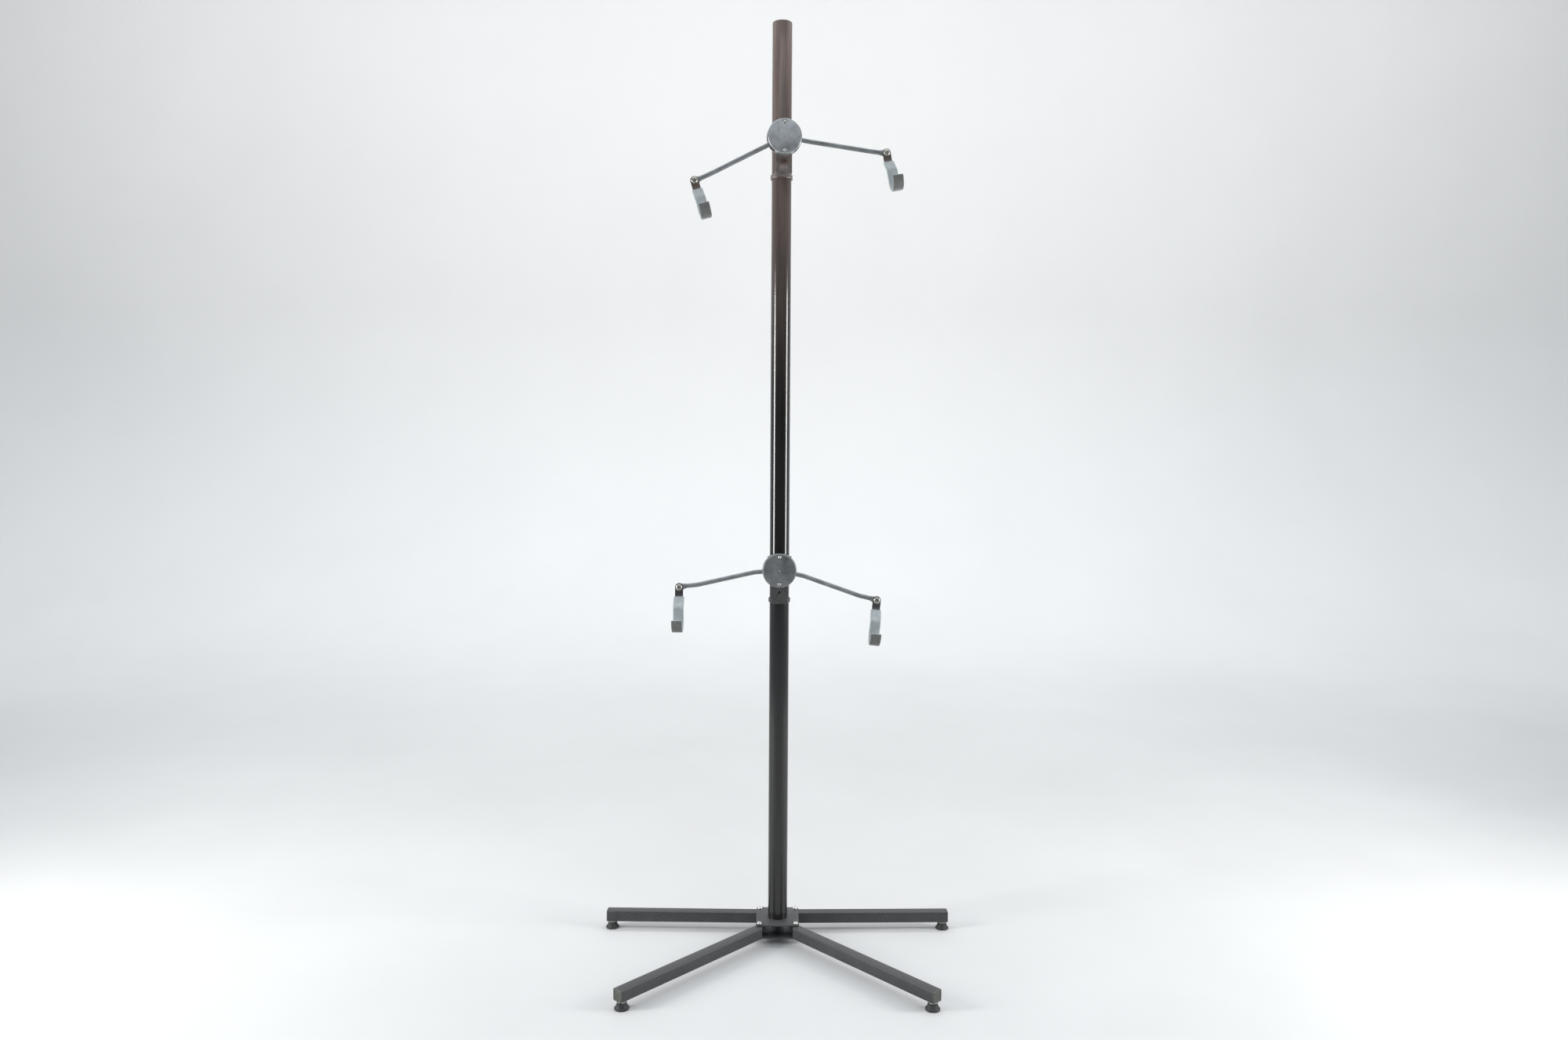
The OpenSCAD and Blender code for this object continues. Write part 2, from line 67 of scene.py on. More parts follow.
bl_info = {
    "name": "Bicycle storage stand",
    "version": (1, 0, 0),
    "blender": (4, 5, 0),
    "location": "3D View > Sidebar > Stand",
    "description": "Builds the finished pieces of a bicycle storage stand on its CAD frame",
    "category": "Add Mesh",
}

JOINTS = {joint["name"]: joint for joint in frame["joints"]}
MM = 0.001
CRADLES = ("upper", "lower")
ARMS = ("upper_left", "upper_right", "lower_left", "lower_right")
LEGS = ("front_left", "front_right", "rear_left", "rear_right")
UP = Vector((0, 0, 1))
WHITE = (1.0, 1.0, 1.0)
COOL = (0.90, 0.96, 1.0)
MATERIALS = {}


# ---------- places, read from the frame ----------


def placed(origin, along_x, along_y, along_z):
    """A placing matrix from an origin and three unit directions."""
    matrix = Matrix((along_x, along_y, along_z)).transposed().to_4x4()
    matrix.translation = origin
    return matrix


def node_middle(node):
    """The middle of a CAD node's box."""
    low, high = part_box(node)
    return (low + high) / 2


def cradle_place(cradle):
    """On the pole's axis at the hub's height: X to the right, Y to the back, Z up."""
    origin = Vector(JOINTS[f"{cradle}_cradle_swivel"]["pos_m"])
    back = -Vector(JOINTS[f"{cradle}_right_arm_swing"]["axis"])
    return placed(origin, back.cross(UP), back, UP)


def arm_place(arm):
    """At the hub, in the plane of the rods: X out along the arm, Y to the back, Z up."""
    cradle, side = arm.split("_")
    hub = Vector(JOINTS[f"{arm}_arm_swing"]["pos_m"])
    back = cradle_place(cradle).to_3x3().col[1]
    along = Vector(JOINTS[f"{arm}_hook_turn"]["pos_m"]) - hub
    along = (along - along.dot(back) * back).normalized()
    up = along.cross(back) if side == "right" else back.cross(along)
    return placed(hub, along, back, up)


def hook_place(arm, lean):
    """At the hook's bolt: X across the hook, Y to the back, Z up along the strap."""
    turned_strap = cradle_place(arm.split("_")[0]).to_3x3() @ Matrix.Rotation(-lean, 3, "Y")
    matrix = turned_strap.to_4x4()
    matrix.translation = Vector(JOINTS[f"{arm}_hook_turn"]["pos_m"])
    return matrix


def leg_place(leg, offset):
    """At the leg's bolt, at mid-height of the tube: X out along the leg, Z up."""
    bolt = Vector(JOINTS[f"{leg}_leg_swing"]["pos_m"])
    foot = node_middle(f"{leg}_foot_pad") - bolt
    hand = 1 if leg.endswith("right") else -1
    reach = math.sqrt(foot.x**2 + foot.y**2 - offset**2)
    heading = complex(foot.x, foot.y) / complex(reach, -hand * offset)
    along = Vector((heading.real, heading.imag, 0)).normalized()
    across = Vector((-along.y, along.x, 0)) * hand
    origin = Vector((bolt.x, bolt.y, node_middle(f"{leg}_leg").z))
    return placed(origin, along, across, UP), reach


# ---------- modelling steps ----------


def clear_selection():
    """Object mode, with nothing selected."""
    if bpy.context.object and bpy.context.object.mode != "OBJECT":
        bpy.ops.object.mode_set(mode="OBJECT")
    bpy.ops.object.select_all(action="DESELECT")


def pick(obj):
    """Makes obj the only selected object and the active one."""
    clear_selection()
    obj.select_set(True)
    bpy.context.view_layer.objects.active = obj
    return obj


def start_edit(obj):
    pick(obj)
    bpy.ops.object.mode_set(mode="EDIT")


def end_edit():
    bpy.ops.object.mode_set(mode="OBJECT")
    return bpy.context.object


def apply_place(obj):
    """Leaves the object at the origin, with its place in its mesh."""
    pick(obj)
    bpy.ops.object.transform_apply(location=True, rotation=True, scale=True)
    return obj


def start_selecting(kind):
    """In edit mode, deselects everything and gives the mesh to select in."""
    bpy.ops.mesh.select_mode(type=kind)
    bpy.ops.mesh.select_all(action="DESELECT")
    return bmesh.from_edit_mesh(bpy.context.edit_object.data)


def select_faces(wanted):
    """In edit mode, selects the faces for which wanted(middle, normal) holds."""
    mesh = start_selecting("FACE")
    mesh.normal_update()
    for face in mesh.faces:
        face.select_set(wanted(face.calc_center_median(), face.normal))
    bmesh.update_edit_mesh(bpy.context.edit_object.data)


def select_edges(wanted):
    """In edit mode, selects the edges for which wanted(middle, direction) holds."""
    mesh = start_selecting("EDGE")
    for edge in mesh.edges:
        start, end = (vertex.co for vertex in edge.verts)
        edge.select_set(wanted((start + end) / 2, (end - start).normalized()))
    bmesh.update_edit_mesh(bpy.context.edit_object.data)


def select_vertices(wanted):
    """In edit mode, selects the vertices for which wanted(place) holds."""
    mesh = start_selecting("VERT")
    for vertex in mesh.verts:
        vertex.select_set(wanted(vertex.co))
    mesh.select_flush_mode()
    bmesh.update_edit_mesh(bpy.context.edit_object.data)


def extrude(step):
    bpy.ops.mesh.extrude_region_move(TRANSFORM_OT_translate={"value": tuple(step)})


def bevel_selected(width, segments):
    bpy.ops.mesh.bevel(offset=width, segments=segments, affect="EDGES", clamp_overlap=True)


def block(low, high, rotation=(0, 0, 0)):
    """A box between two corners, in millimetres, turned about its middle."""
    low, high = Vector(low) * MM, Vector(high) * MM
    clear_selection()
    bpy.ops.mesh.primitive_cube_add(size=1, location=(low + high) / 2, rotation=rotation)
    box = bpy.context.object
    box.scale = high - low
    return apply_place(box)


def turned(profile, vertices=48):
    """A closed turned shape along +Z, through (height, radius) pairs in millimetres."""
    (height, radius), rings = profile[0], profile[1:]
    clear_selection()
    bpy.ops.mesh.primitive_circle_add(
        vertices=vertices, radius=radius * MM, fill_type="NGON", location=(0, 0, height * MM)
    )
    start_edit(apply_place(bpy.context.object))
    bpy.ops.mesh.select_all(action="SELECT")
    for next_height, next_radius in rings:
        extrude((0, 0, (next_height - height) * MM))
        grow = next_radius / radius
        bpy.ops.transform.resize(
            value=(grow, grow, 1), center_override=(0, 0, next_height * MM)
        )
        height, radius = next_height, next_radius
    return end_edit()


def run_through(corners, bend, steps=7):
    """Extrudes the selected end through corners in millimetres, with an even bend at each."""
    corners = [Vector(corner) * MM for corner in corners]
    bend *= MM
    here = corners[0]
    for index, corner in enumerate(corners[1:], start=1):
        heading = (corner - here).normalized()
        if index == len(corners) - 1:
            extrude(corner - here)
            return
        after = (corners[index + 1] - corner).normalized()
        turn = heading.angle(after)
        trim = bend * math.tan(turn / 2)
        stop = corner - heading * trim
        extrude(stop - here)
        axis = heading.cross(after).normalized()
        swing_end(stop + axis.cross(heading) * bend, axis, turn, steps)
        here = corner + after * trim


def swing_end(centre, axis, turn, steps):
    """Spins the selected end about an axis by the right-hand rule."""
    bpy.ops.mesh.spin(steps=steps, dupli=False, angle=-turn, center=centre, axis=axis)


def join(parts):
    """Joins parts into the first of them."""
    pick(parts[0])
    for part in parts[1:]:
        part.select_set(True)
    bpy.ops.object.join()
    return bpy.context.object


def duplicate(obj, matrix=None):
    """A copy with its own mesh, moved by matrix."""
    copy = obj.copy()
    copy.data = obj.data.copy()
    bpy.context.scene.collection.objects.link(copy)
    if matrix is not None:
        copy.matrix_world = matrix
        apply_place(copy)
    return copy


def remove(*objects):
    for obj in objects:
        bpy.data.objects.remove(obj)


def tidy_mesh(obj):
    """Merges doubles and points the faces outwards."""
    start_edit(obj)
    bpy.ops.mesh.select_all(action="SELECT")
    bpy.ops.mesh.remove_doubles(threshold=0.00001)
    bpy.ops.mesh.normals_make_consistent(inside=False)
    return end_edit()


def modify(obj, kind, **settings):
    """Applies a modifier with these settings."""
    pick(obj)
    modifier = obj.modifiers.new(kind.lower(), kind)
    for name, value in settings.items():
        setattr(modifier, name, value)
    bpy.ops.object.modifier_apply(modifier=modifier.name)
    return obj


def round_edges(obj, width, segments, limit):
    """Rounds every edge sharper than the limit, in degrees."""
    return modify(
        obj,
        "BEVEL",
        width=width * MM,
        segments=segments,
        limit_method="ANGLE",
        angle_limit=math.radians(limit),
        use_clamp_overlap=True,
    )


def cut_away(obj, cutter):
    """Cuts the cutter's shape out of obj."""
    modify(obj, "BOOLEAN", operation="DIFFERENCE", solver="EXACT", object=cutter)
    remove(cutter)


def cross_recess(screw, top, length, width, depth):
    """Cuts a cross recess into a screw head that stands along +Z."""
    for long_x, long_y in ((length, width), (width, length)):
        low = (-long_x / 2, -long_y / 2, top - depth)
        cut_away(screw, block(low, (long_x / 2, long_y / 2, top + 2)))


def hex_nut(across_flats, low, high):
    """A chamfered hex nut along +Z between two heights."""
    corner = across_flats / math.sqrt(3)
    flat = corner * 0.93
    profile = [(low, flat), (low + 0.4, corner), (high - 0.4, corner), (high, flat)]
    return turned(profile, vertices=6)


def facing_forward(distance, height=0.0, side=0.0):
    """Turns a piece that stands along +Z to point forward from a place in a cradle."""
    place = Matrix.Translation(Vector((side, -distance, height)) * MM)
    return place @ Matrix.Rotation(math.radians(90), 4, "X")


def finish_piece(obj, name, body, material, nodes=(), place=None, smooth=35):
    """Places a piece in the frame, smooths it, and ties it to its body, slot and CAD nodes."""
    if place is not None:
        obj.matrix_world = place
        apply_place(obj)
    tidy_mesh(obj)
    pick(obj)
    bpy.ops.object.shade_smooth_by_angle(angle=math.radians(smooth))
    obj.name = name
    obj.data.name = name
    obj.data.materials.clear()
    obj.data.materials.append(MATERIALS[material])
    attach(obj, body)
    if nodes:
        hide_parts(*nodes)
    return obj


def dress_node(node, material):
    """Gives a CAD node that keeps its shape its own material."""
    for slot in frame["nodes"][node].material_slots:
        slot.material = MATERIALS[material]


# ---------- materials ----------


class Finish:
    """A material whose colour, roughness and bump follow patterns fixed to the piece."""

    def __init__(self, name):
        self.material = bpy.data.materials.new(name)
        self.material.use_nodes = True
        self.tree = self.material.node_tree
        self.tree.nodes.clear()
        output = self.node("OutputMaterial")
        self.shader = self.node("BsdfPrincipled")
        self.place = self.node("TexCoord").outputs["Object"]
        self.link(self.shader.outputs["BSDF"], output.inputs["Surface"])

    def node(self, kind, **constants):
        """A new node with constants on its sockets."""
        node = self.tree.nodes.new(f"ShaderNode{kind}")
        for socket, value in constants.items():
            node.inputs[socket.replace("_", " ")].default_value = value
        return node

    def link(self, source, target):
        self.tree.links.new(source, target)

    def set(self, **values):
        """Sets constant values on the shader's own sockets."""
        for socket, value in values.items():
            self.shader.inputs[socket.replace("_", " ")].default_value = value
        return self

    def grain(self, scale, detail=4.0, roughness=0.55, stretch=(1, 1, 1)):
        """Noise of this scale per metre, stretched along the axes."""
        mapping = self.node("Mapping", Scale=stretch)
        noise = self.node("TexNoise", Scale=scale, Detail=detail, Roughness=roughness)
        self.link(self.place, mapping.inputs["Vector"])
        self.link(mapping.outputs["Vector"], noise.inputs["Vector"])
        return noise.outputs["Fac"]

    def cells(self, scale):
        """Distance to the nearest point of a scatter of this scale per metre."""
        voronoi = self.node("TexVoronoi", Scale=scale)
        self.link(self.place, voronoi.inputs["Vector"])
        return voronoi.outputs["Distance"]

    def own(self, name):
        """A value stored on the piece's own mesh."""
        attribute = self.node("Attribute")
        attribute.attribute_name = name
        return attribute.outputs["Fac"]

    def along(self, axis, start, end):
        """0 at start and 1 at end, in metres along an axis."""
        split = self.node("SeparateXYZ")
        reach = self.node("MapRange", From_Min=start, From_Max=end)
        reach.interpolation_type = "SMOOTHSTEP"
        self.link(self.place, split.inputs[0])
        self.link(split.outputs[axis], reach.inputs["Value"])
        return reach.outputs["Result"]

    def near(self, centre, inner, outer):
        """1 within inner metres of a point, falling to 0 at outer."""
        distance = self.node("VectorMath")
        distance.operation = "DISTANCE"
        distance.inputs[1].default_value = centre
        self.link(self.place, distance.inputs[0])
        return self.spread(distance.outputs["Value"], inner, outer, 1.0, 0.0)

    def spread(self, value, low, high, to_low=0.0, to_high=1.0):
        """Maps value from low..high to to_low..to_high."""
        reach = self.node("MapRange", From_Min=low, From_Max=high, To_Min=to_low, To_Max=to_high)
        self.link(value, reach.inputs["Value"])
        return reach.outputs["Result"]

    def times(self, first, second):
        product = self.node("Math")
        product.operation = "MULTIPLY"
        product.use_clamp = True
        for value, socket in zip((first, second), product.inputs):
            if isinstance(value, (int, float)):
                socket.default_value = value
            else:
                self.link(value, socket)
        return product.outputs[0]

    def colours(self, value, *stops):
        """A colour ramp over value; each stop is (place, (red, green, blue))."""
        ramp = self.node("ValToRGB")
        elements = ramp.color_ramp.elements
        while len(elements) < len(stops):
            elements.new(0.5)
        for element, (place, colour) in zip(elements, stops):
            element.position = place
            element.color = (*colour, 1)
        self.link(value, ramp.inputs["Fac"])
        return ramp.outputs["Color"]

    def blend(self, share, first, second):
        """first where share is 0 and second where it is 1."""
        mix = self.node("Mix")
        mix.data_type = "RGBA"
        self.link(share, mix.inputs["Factor"])
        for value, socket in ((first, mix.inputs[6]), (second, mix.inputs[7])):
            if isinstance(value, tuple):
                socket.default_value = (*value, 1)
            else:
                self.link(value, socket)
        return mix.outputs[2]

    def colour(self, value):
        self.link(value, self.shader.inputs["Base Color"])
        return self

    def roughness(self, value, low, high):
        self.link(self.spread(value, 0.25, 0.75, low, high), self.shader.inputs["Roughness"])
        return self

    def bump(self, *layers):
        """Stacks bumps; each layer is (value, height in millimetres)."""
        normal = None
        for value, height in layers:
            bump = self.node("Bump", Strength=1.0, Distance=height * MM)
            self.link(value, bump.inputs["Height"])
            if normal is not None:
                self.link(normal, bump.inputs["Normal"])
            normal = bump.outputs["Normal"]
        self.link(normal, self.shader.inputs["Normal"])
        return self


def tint(colour, share):
    """A colour scaled in brightness."""
    return tuple(channel * share for channel in colour)


def pole_paint(colours):
    """Gloss black paint that has faded to a dusty brown towards the top of the pole."""
    low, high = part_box("pole")
    finish = Finish("pole_gloss_black")
    streaks = finish.grain(95, 6, 0.6, (1, 1, 0.06))
    blotches = finish.grain(7, 3)
    black, brown = tuple(colours.pole_black), tuple(colours.pole_brown)
    base = finish.colours(streaks, (0.3, tint(black, 0.75)), (0.7, tint(black, 1.35)))
    faded = finish.colours(streaks, (0.28, tint(brown, 0.6)), (0.72, tint(brown, 1.3)))
    height = finish.along("Z", low.z + 0.55 * (high.z - low.z), high.z - 0.06)
    paint = finish.blend(height, base, faded)
    specks = finish.spread(finish.cells(260), 0.0, 0.07, 1.0, 0.0)
    chips = finish.times(specks, finish.spread(finish.grain(18, 2), 0.56, 0.62))
    finish.colour(finish.blend(chips, paint, (0.30, 0.28, 0.26)))
    finish.roughness(blotches, 0.10, 0.18)
    finish.set(IOR=1.46, Coat_Weight=0.2, Coat_Roughness=0.07)
    finish.bump((finish.grain(420, 2), 0.02), (finish.grain(30, 3, 0.5, (1, 1, 0.15)), 0.03))
    return finish.material


def powder_coat(name, colour, roughness=(0.38, 0.52)):
    """Satin powder coat: fine orange peel, dust in the hollows and rubbed patches."""
    finish = Finish(name)
    peel = finish.grain(900, 3, 0.6)
    dust = finish.grain(16, 5, 0.62)
    dusty = finish.colours(
        dust, (0.3, tint(colour, 0.72)), (0.55, colour), (0.78, tint(colour, 1.55))
    )
    speckle = finish.spread(finish.grain(520, 2, 0.5), 0.42, 0.66, 0.0, 0.6)
    paint = finish.blend(speckle, dusty, tint(colour, 2.0))
    specks = finish.spread(finish.cells(330), 0.0, 0.08, 1.0, 0.0)
    chips = finish.times(specks, finish.spread(finish.grain(22, 2), 0.55, 0.6))
    finish.colour(finish.blend(chips, paint, (0.28, 0.27, 0.25)))
    finish.roughness(dust, *roughness)
    finish.bump((peel, 0.05), (finish.grain(60, 2), 0.04))
    return finish.material


def grey_enamel(name, colour, metallic, rust, centre=None):
    """Metallic grey enamel with fine hammering, rub marks and brown staining, and about a given
    centre a dark brown patch of painted hub shadow over rust.
    """
    finish = Finish(name)
    mottle = finish.grain(55, 6, 0.62)
    streaks = finish.grain(420, 3, 0.55)
    paint = finish.colours(
        mottle, (0.26, tint(colour, 0.66)), (0.5, colour), (0.76, tint(colour, 1.32))
    )
    stain_share = finish.times(finish.spread(finish.grain(90, 6, 0.7), 0.55, 0.72), rust)
    paint = finish.blend(stain_share, paint, (0.12, 0.075, 0.05))
    if centre is not None:
        # painted shadow: a dark brown patch about centre stands for the hub's shadow on the
        # bracket, over rust at the pivot hole
        patch = finish.times(finish.near(centre, 0.002, 0.011), finish.spread(mottle, 0.3, 0.5))
        paint = finish.blend(patch, paint, (0.07, 0.03, 0.016))
    finish.colour(paint)
    finish.roughness(mottle, 0.26, 0.46)
    finish.set(Metallic=metallic, Coat_Weight=0.25, Coat_Roughness=0.2)
    finish.bump((streaks, 0.035), (mottle, 0.05))
    return finish.material


def zinc_plate(name="bright_zinc", colour=(0.66, 0.66, 0.63)):
    """Bright zinc plating with turning marks, dulled in patches."""
    finish = Finish(name)
    patches = finish.grain(120, 5, 0.6)
    marks = finish.grain(2600, 2, 0.5)
    finish.colour(
        finish.colours(patches, (0.3, tint(colour, 0.62)), (0.5, colour), (0.7, tint(colour, 1.15)))
    )
    finish.roughness(patches, 0.2, 0.42)
    finish.set(Metallic=0.95)
    finish.bump((marks, 0.02), (patches, 0.03))
    return finish.material


def grey_vinyl(colours):
    """Dipped vinyl: soft sheen, slight waviness, scuffs and grey dirt, and painted shade on the
    outer face of the tip.
    """
    finish = Finish("grey_vinyl_coating")
    colour = tuple(colours.vinyl)
    waves = finish.grain(75, 3, 0.5)
    dirt = finish.grain(210, 6, 0.7)
    paint = finish.colours(waves, (0.3, tint(colour, 0.86)), (0.7, tint(colour, 1.1)))
    scuffs = finish.times(finish.spread(dirt, 0.54, 0.74), 0.55)
    paint = finish.blend(scuffs, paint, tint(colour, 0.45))
    # painted shade: the outer, forward-facing face of the hook's tip is blended towards near-black
    tip_shade = finish.times(finish.own("painted_tip_shade"), finish.spread(dirt, 0.2, 0.6, 0.75, 0.95))
    finish.colour(finish.blend(tip_shade, paint, (0.105, 0.103, 0.098)))
    finish.roughness(dirt, 0.34, 0.54)
    finish.set(Sheen_Weight=0.08, Specular_IOR_Level=0.45)
    finish.bump((waves, 0.16), (dirt, 0.05))
    return finish.material


def moulded(name, colour, roughness, texture, speckle=0.3):
    """Moulded plastic or rubber: fine texture, dust and faint flow marks."""
    finish = Finish(name)
    texture_grain = finish.grain(texture, 3, 0.6)
    dust = finish.grain(65, 6, 0.68)
    paint = finish.colours(dust, (0.3, tint(colour, 0.75)), (0.6, tint(colour, 1.15)))
    share = finish.times(finish.spread(dust, 0.52, 0.75), speckle)
    finish.colour(finish.blend(share, paint, (0.22, 0.21, 0.19)))
    finish.roughness(dust, *roughness)
    finish.bump((texture_grain, 0.06), (dust, 0.04))
    return finish.material


def floor_paint(colours):
    """Pale studio floor with the faintest mottling, and painted shade that makes it darker in front
    of the wall.
    """
    finish = Finish("studio_floor")
    colour = tuple(colours.floor)
    mottle = finish.grain(1.3, 5, 0.6)
    wall = finish.colours(mottle, (0.3, tint(colour, 0.965)), (0.7, colour))
    # painted shade: the floor in front of the wall is painted darker, and lightens towards the wall
    shaded_front_floor = finish.colours(mottle, (0.3, tint(colour, 0.70)), (0.7, tint(colour, 0.75)))
    finish.colour(finish.blend(finish.along("Y", 1.0, 4.5), shaded_front_floor, wall))
    finish.roughness(mottle, 0.6, 0.75)
    finish.bump((finish.grain(240, 3), 0.05))
    return finish.material


# ---------- what a user would change ----------


def colour_property(name, description, default):
    """A paint or material colour that a user may change."""
    return FloatVectorProperty(
        name=name, description=description, subtype="COLOR", default=default, min=0, max=1
    )


class StandColours(bpy.types.PropertyGroup):
    """Paint and material colours of the stand."""

    pole_black: colour_property(
        "Pole paint", "Gloss paint on the lower part of the pole", (0.013, 0.0125, 0.0125)
    )
    pole_brown: colour_property(
        "Faded pole paint", "Paint at the top of the pole, where it has faded", (0.15, 0.112, 0.098)
    )
    base: colour_property(
        "Base paint", "Powder coat on the legs and base plates", (0.036, 0.037, 0.038)
    )
    cradle: colour_property("Cradle enamel", "Enamel on the arms and brackets", (0.20, 0.212, 0.22))
    strap: colour_property("Hook steel", "Bare upper part of the hooks", (0.085, 0.066, 0.058))
    vinyl: colour_property("Hook vinyl", "Soft coating on the hooks", (0.335, 0.37, 0.38))
    floor: colour_property("Floor", "Studio floor", (0.80, 0.80, 0.795))


def length_property(name, description, default):
    """A length in millimetres that a user may change."""
    return FloatProperty(name=name, description=description, default=default, min=0)


def lean_property(name, default):
    """A hook's sideways lean, positive where its lower end goes to the right."""
    return FloatProperty(
        name=name,
        description="Sideways lean of this hook's lower end",
        subtype="ANGLE",
        default=math.radians(default),
    )


class StandSizes(bpy.types.PropertyGroup):
    """Sizes, in millimetres, that the frame's boxes and joints don't give."""

    plate_corner: length_property("Plate corner", "Corner radius of the base plates", 6)
    tube_corner: length_property("Leg corner", "Corner radius of the leg tubes", 1.9)
    tube_wall: length_property("Leg wall", "Wall of the leg tubes", 1.5)
    leg_offset: length_property("Leg offset", "How far a leg's middle runs off its bolt", 4.8)
    foot_inset: length_property("Foot inset", "From the foot's centre to the leg's tip", 11)
    rod: length_property("Arm rod", "Diameter of the arm rods", 9)
    rod_bend: length_property("Arm bend", "Bend radius of the arm rods", 34)
    strap_width: length_property("Strap width", "Width of the hook's steel strap", 16)
    strap_thickness: length_property("Strap thickness", "Thickness of that strap", 3)
    sleeve_width: length_property("Vinyl width", "Width of the coated hook", 21)
    sleeve_thickness: length_property("Vinyl thickness", "Thickness of the coated hook", 5.5)
    throat: length_property("Hook bend", "Centreline radius of the hook's bend", 19.5)
    upper_left_lean: lean_property("Upper left hook", 16)
    upper_right_lean: lean_property("Upper right hook", 10.4)
    lower_left_lean: lean_property("Lower left hook", 0.5)
    lower_right_lean: lean_property("Lower right hook", -6)
    root_rise: FloatVectorProperty(
        name="Root rise",
        description="How much flatter each arm leaves its hub, in degrees",
        size=4,
        default=(1, 0, 5, 4),
    )


class StandOperator(bpy.types.Operator):
    """Shared base of the stand's operators."""

    bl_options = {"REGISTER", "UNDO"}

    @property
    def sizes(self):
        return bpy.context.scene.stand_sizes

    @property
    def colours(self):
        return bpy.context.scene.stand_colours


# ---------- pieces ----------


class STAND_OT_materials(StandOperator):
    """Mixes every material of the stand."""

    bl_idname = "stand.materials"
    bl_label = "Materials"

    # bracket and cap of each cradle, in painted light and shade: the upper cradle's tones are lit
    # and lighter, the lower one's are shaded and darker
    lit_and_shaded_tones = {
        "upper": ((0.20, 0.175, 0.165), (0.34, 0.355, 0.37)),
        "lower": ((0.055, 0.056, 0.056), (0.20, 0.213, 0.218)),
    }

    def execute(self, context):
        colours = self.colours
        MATERIALS["pole"] = pole_paint(colours)
        MATERIALS["base"] = powder_coat("base_powder_coat", tuple(colours.base))
        MATERIALS["arm"] = grey_enamel("arm_enamel", tuple(colours.cradle), 0.55, 0.5)
        for cradle in CRADLES:
            # the upper bracket gets a dark brown patch just under its hub: painted shadow of the
            # hub, over rust at the pivot hole
            hole = cradle_place(cradle) @ (Vector((0, -48, -45)) * MM)
            bracket, cap = self.lit_and_shaded_tones[cradle]
            rust = tuple(hole) if cradle == "upper" else None
            MATERIALS[f"{cradle}_bracket"] = grey_enamel(
                f"{cradle}_bracket_enamel", bracket, 0.4, 0.6, rust
            )
            MATERIALS[f"{cradle}_cap"] = grey_enamel(f"{cradle}_hub_cap_enamel", cap, 0.6, 0.35)
        strap = tuple(colours.strap)
        MATERIALS["upper_strap"] = grey_enamel("upper_strap_steel", strap, 0.35, 0.8)
        MATERIALS["lower_strap"] = grey_enamel("lower_strap_steel", (0.05, 0.052, 0.054), 0.35, 0.3)
        MATERIALS["vinyl"] = grey_vinyl(colours)
        MATERIALS["zinc"] = zinc_plate()
        MATERIALS["nickel"] = zinc_plate("dull_nickel", (0.42, 0.41, 0.37))
        MATERIALS["rubber"] = moulded("foot_rubber", (0.02, 0.02, 0.02), (0.5, 0.75), 700)
        MATERIALS["plug"] = moulded("leg_plug_plastic", (0.075, 0.077, 0.066), (0.4, 0.6), 1100)
        MATERIALS["knob"] = moulded("knob_plastic", (0.022, 0.022, 0.024), (0.32, 0.5), 1300)
        MATERIALS["nylon"] = moulded("nylon", (0.66, 0.65, 0.60), (0.35, 0.5), 900, 0.12)
        MATERIALS["floor"] = floor_paint(colours)
        return {"FINISHED"}


class STAND_OT_pole(StandOperator):
    """Builds the pole and the plug in its top."""

    bl_idname = "stand.pole"
    bl_label = "Pole"

    def execute(self, context):
        low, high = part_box("pole")
        axis = node_middle("pole")
        radius = (high.x - low.x) / 2 / MM
        bottom, top = low.z / MM, high.z / MM
        profile = [(bottom, radius - 0.3), (bottom + 0.4, radius)]
        steps = 24
        profile += [
            (bottom + (top - bottom) * step / steps, radius) for step in range(1, steps)
        ]
        profile += [(top - 0.6, radius), (top - 0.1, radius - 0.15), (top + 0.05, radius - 0.6)]
        place = Matrix.Translation((axis.x, axis.y, 0))
        pole = turned(profile, 96)
        finish_piece(
            pole, "pole_tube", "stand", "pole", ["pole"], place
        )
        plug_low, cap_top = (corner.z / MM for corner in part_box("pole_top_cap"))
        profile = [
            (plug_low, radius - 1.6), (top + 0.05, radius - 1.6),
            (top + 0.1, radius - 0.25), (cap_top - 0.9, radius - 0.2),
            (cap_top - 0.35, radius - 0.5), (cap_top - 0.05, radius - 1.3),
            (cap_top, radius - 2.4), (cap_top - 0.1, radius - 4.2),
            (cap_top - 0.7, radius - 5.2), (cap_top - 0.7, 1.5),
        ]
        plug = turned(profile, 96)
        finish_piece(
            plug, "pole_top_plug", "stand", "pole", ["pole_top_cap"], place
        )
        return {"FINISHED"}


class STAND_OT_base_plates(StandOperator):
    """Builds the two rounded base plates and dresses what is between them."""

    bl_idname = "stand.base_plates"
    bl_label = "Base plates"

    def execute(self, context):
        for node in ("base_top_plate", "base_bottom_plate"):
            low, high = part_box(node)
            plate = block(low / MM, high / MM)
            start_edit(plate)
            select_edges(lambda middle, along: abs(along.z) > 0.99)
            bevel_selected(self.sizes.plate_corner * MM, 8)
            end_edit()
            round_edges(plate, 0.55, 3, 50)
            name = node.replace("base_", "base_finished_")
            finish_piece(plate, name, "stand", "base", [node])
        dress_node("base_spacer", "base")
        dress_node("centre_bolt", "zinc")
        dress_node("pole_foot_plug", "zinc")
        return {"FINISHED"}


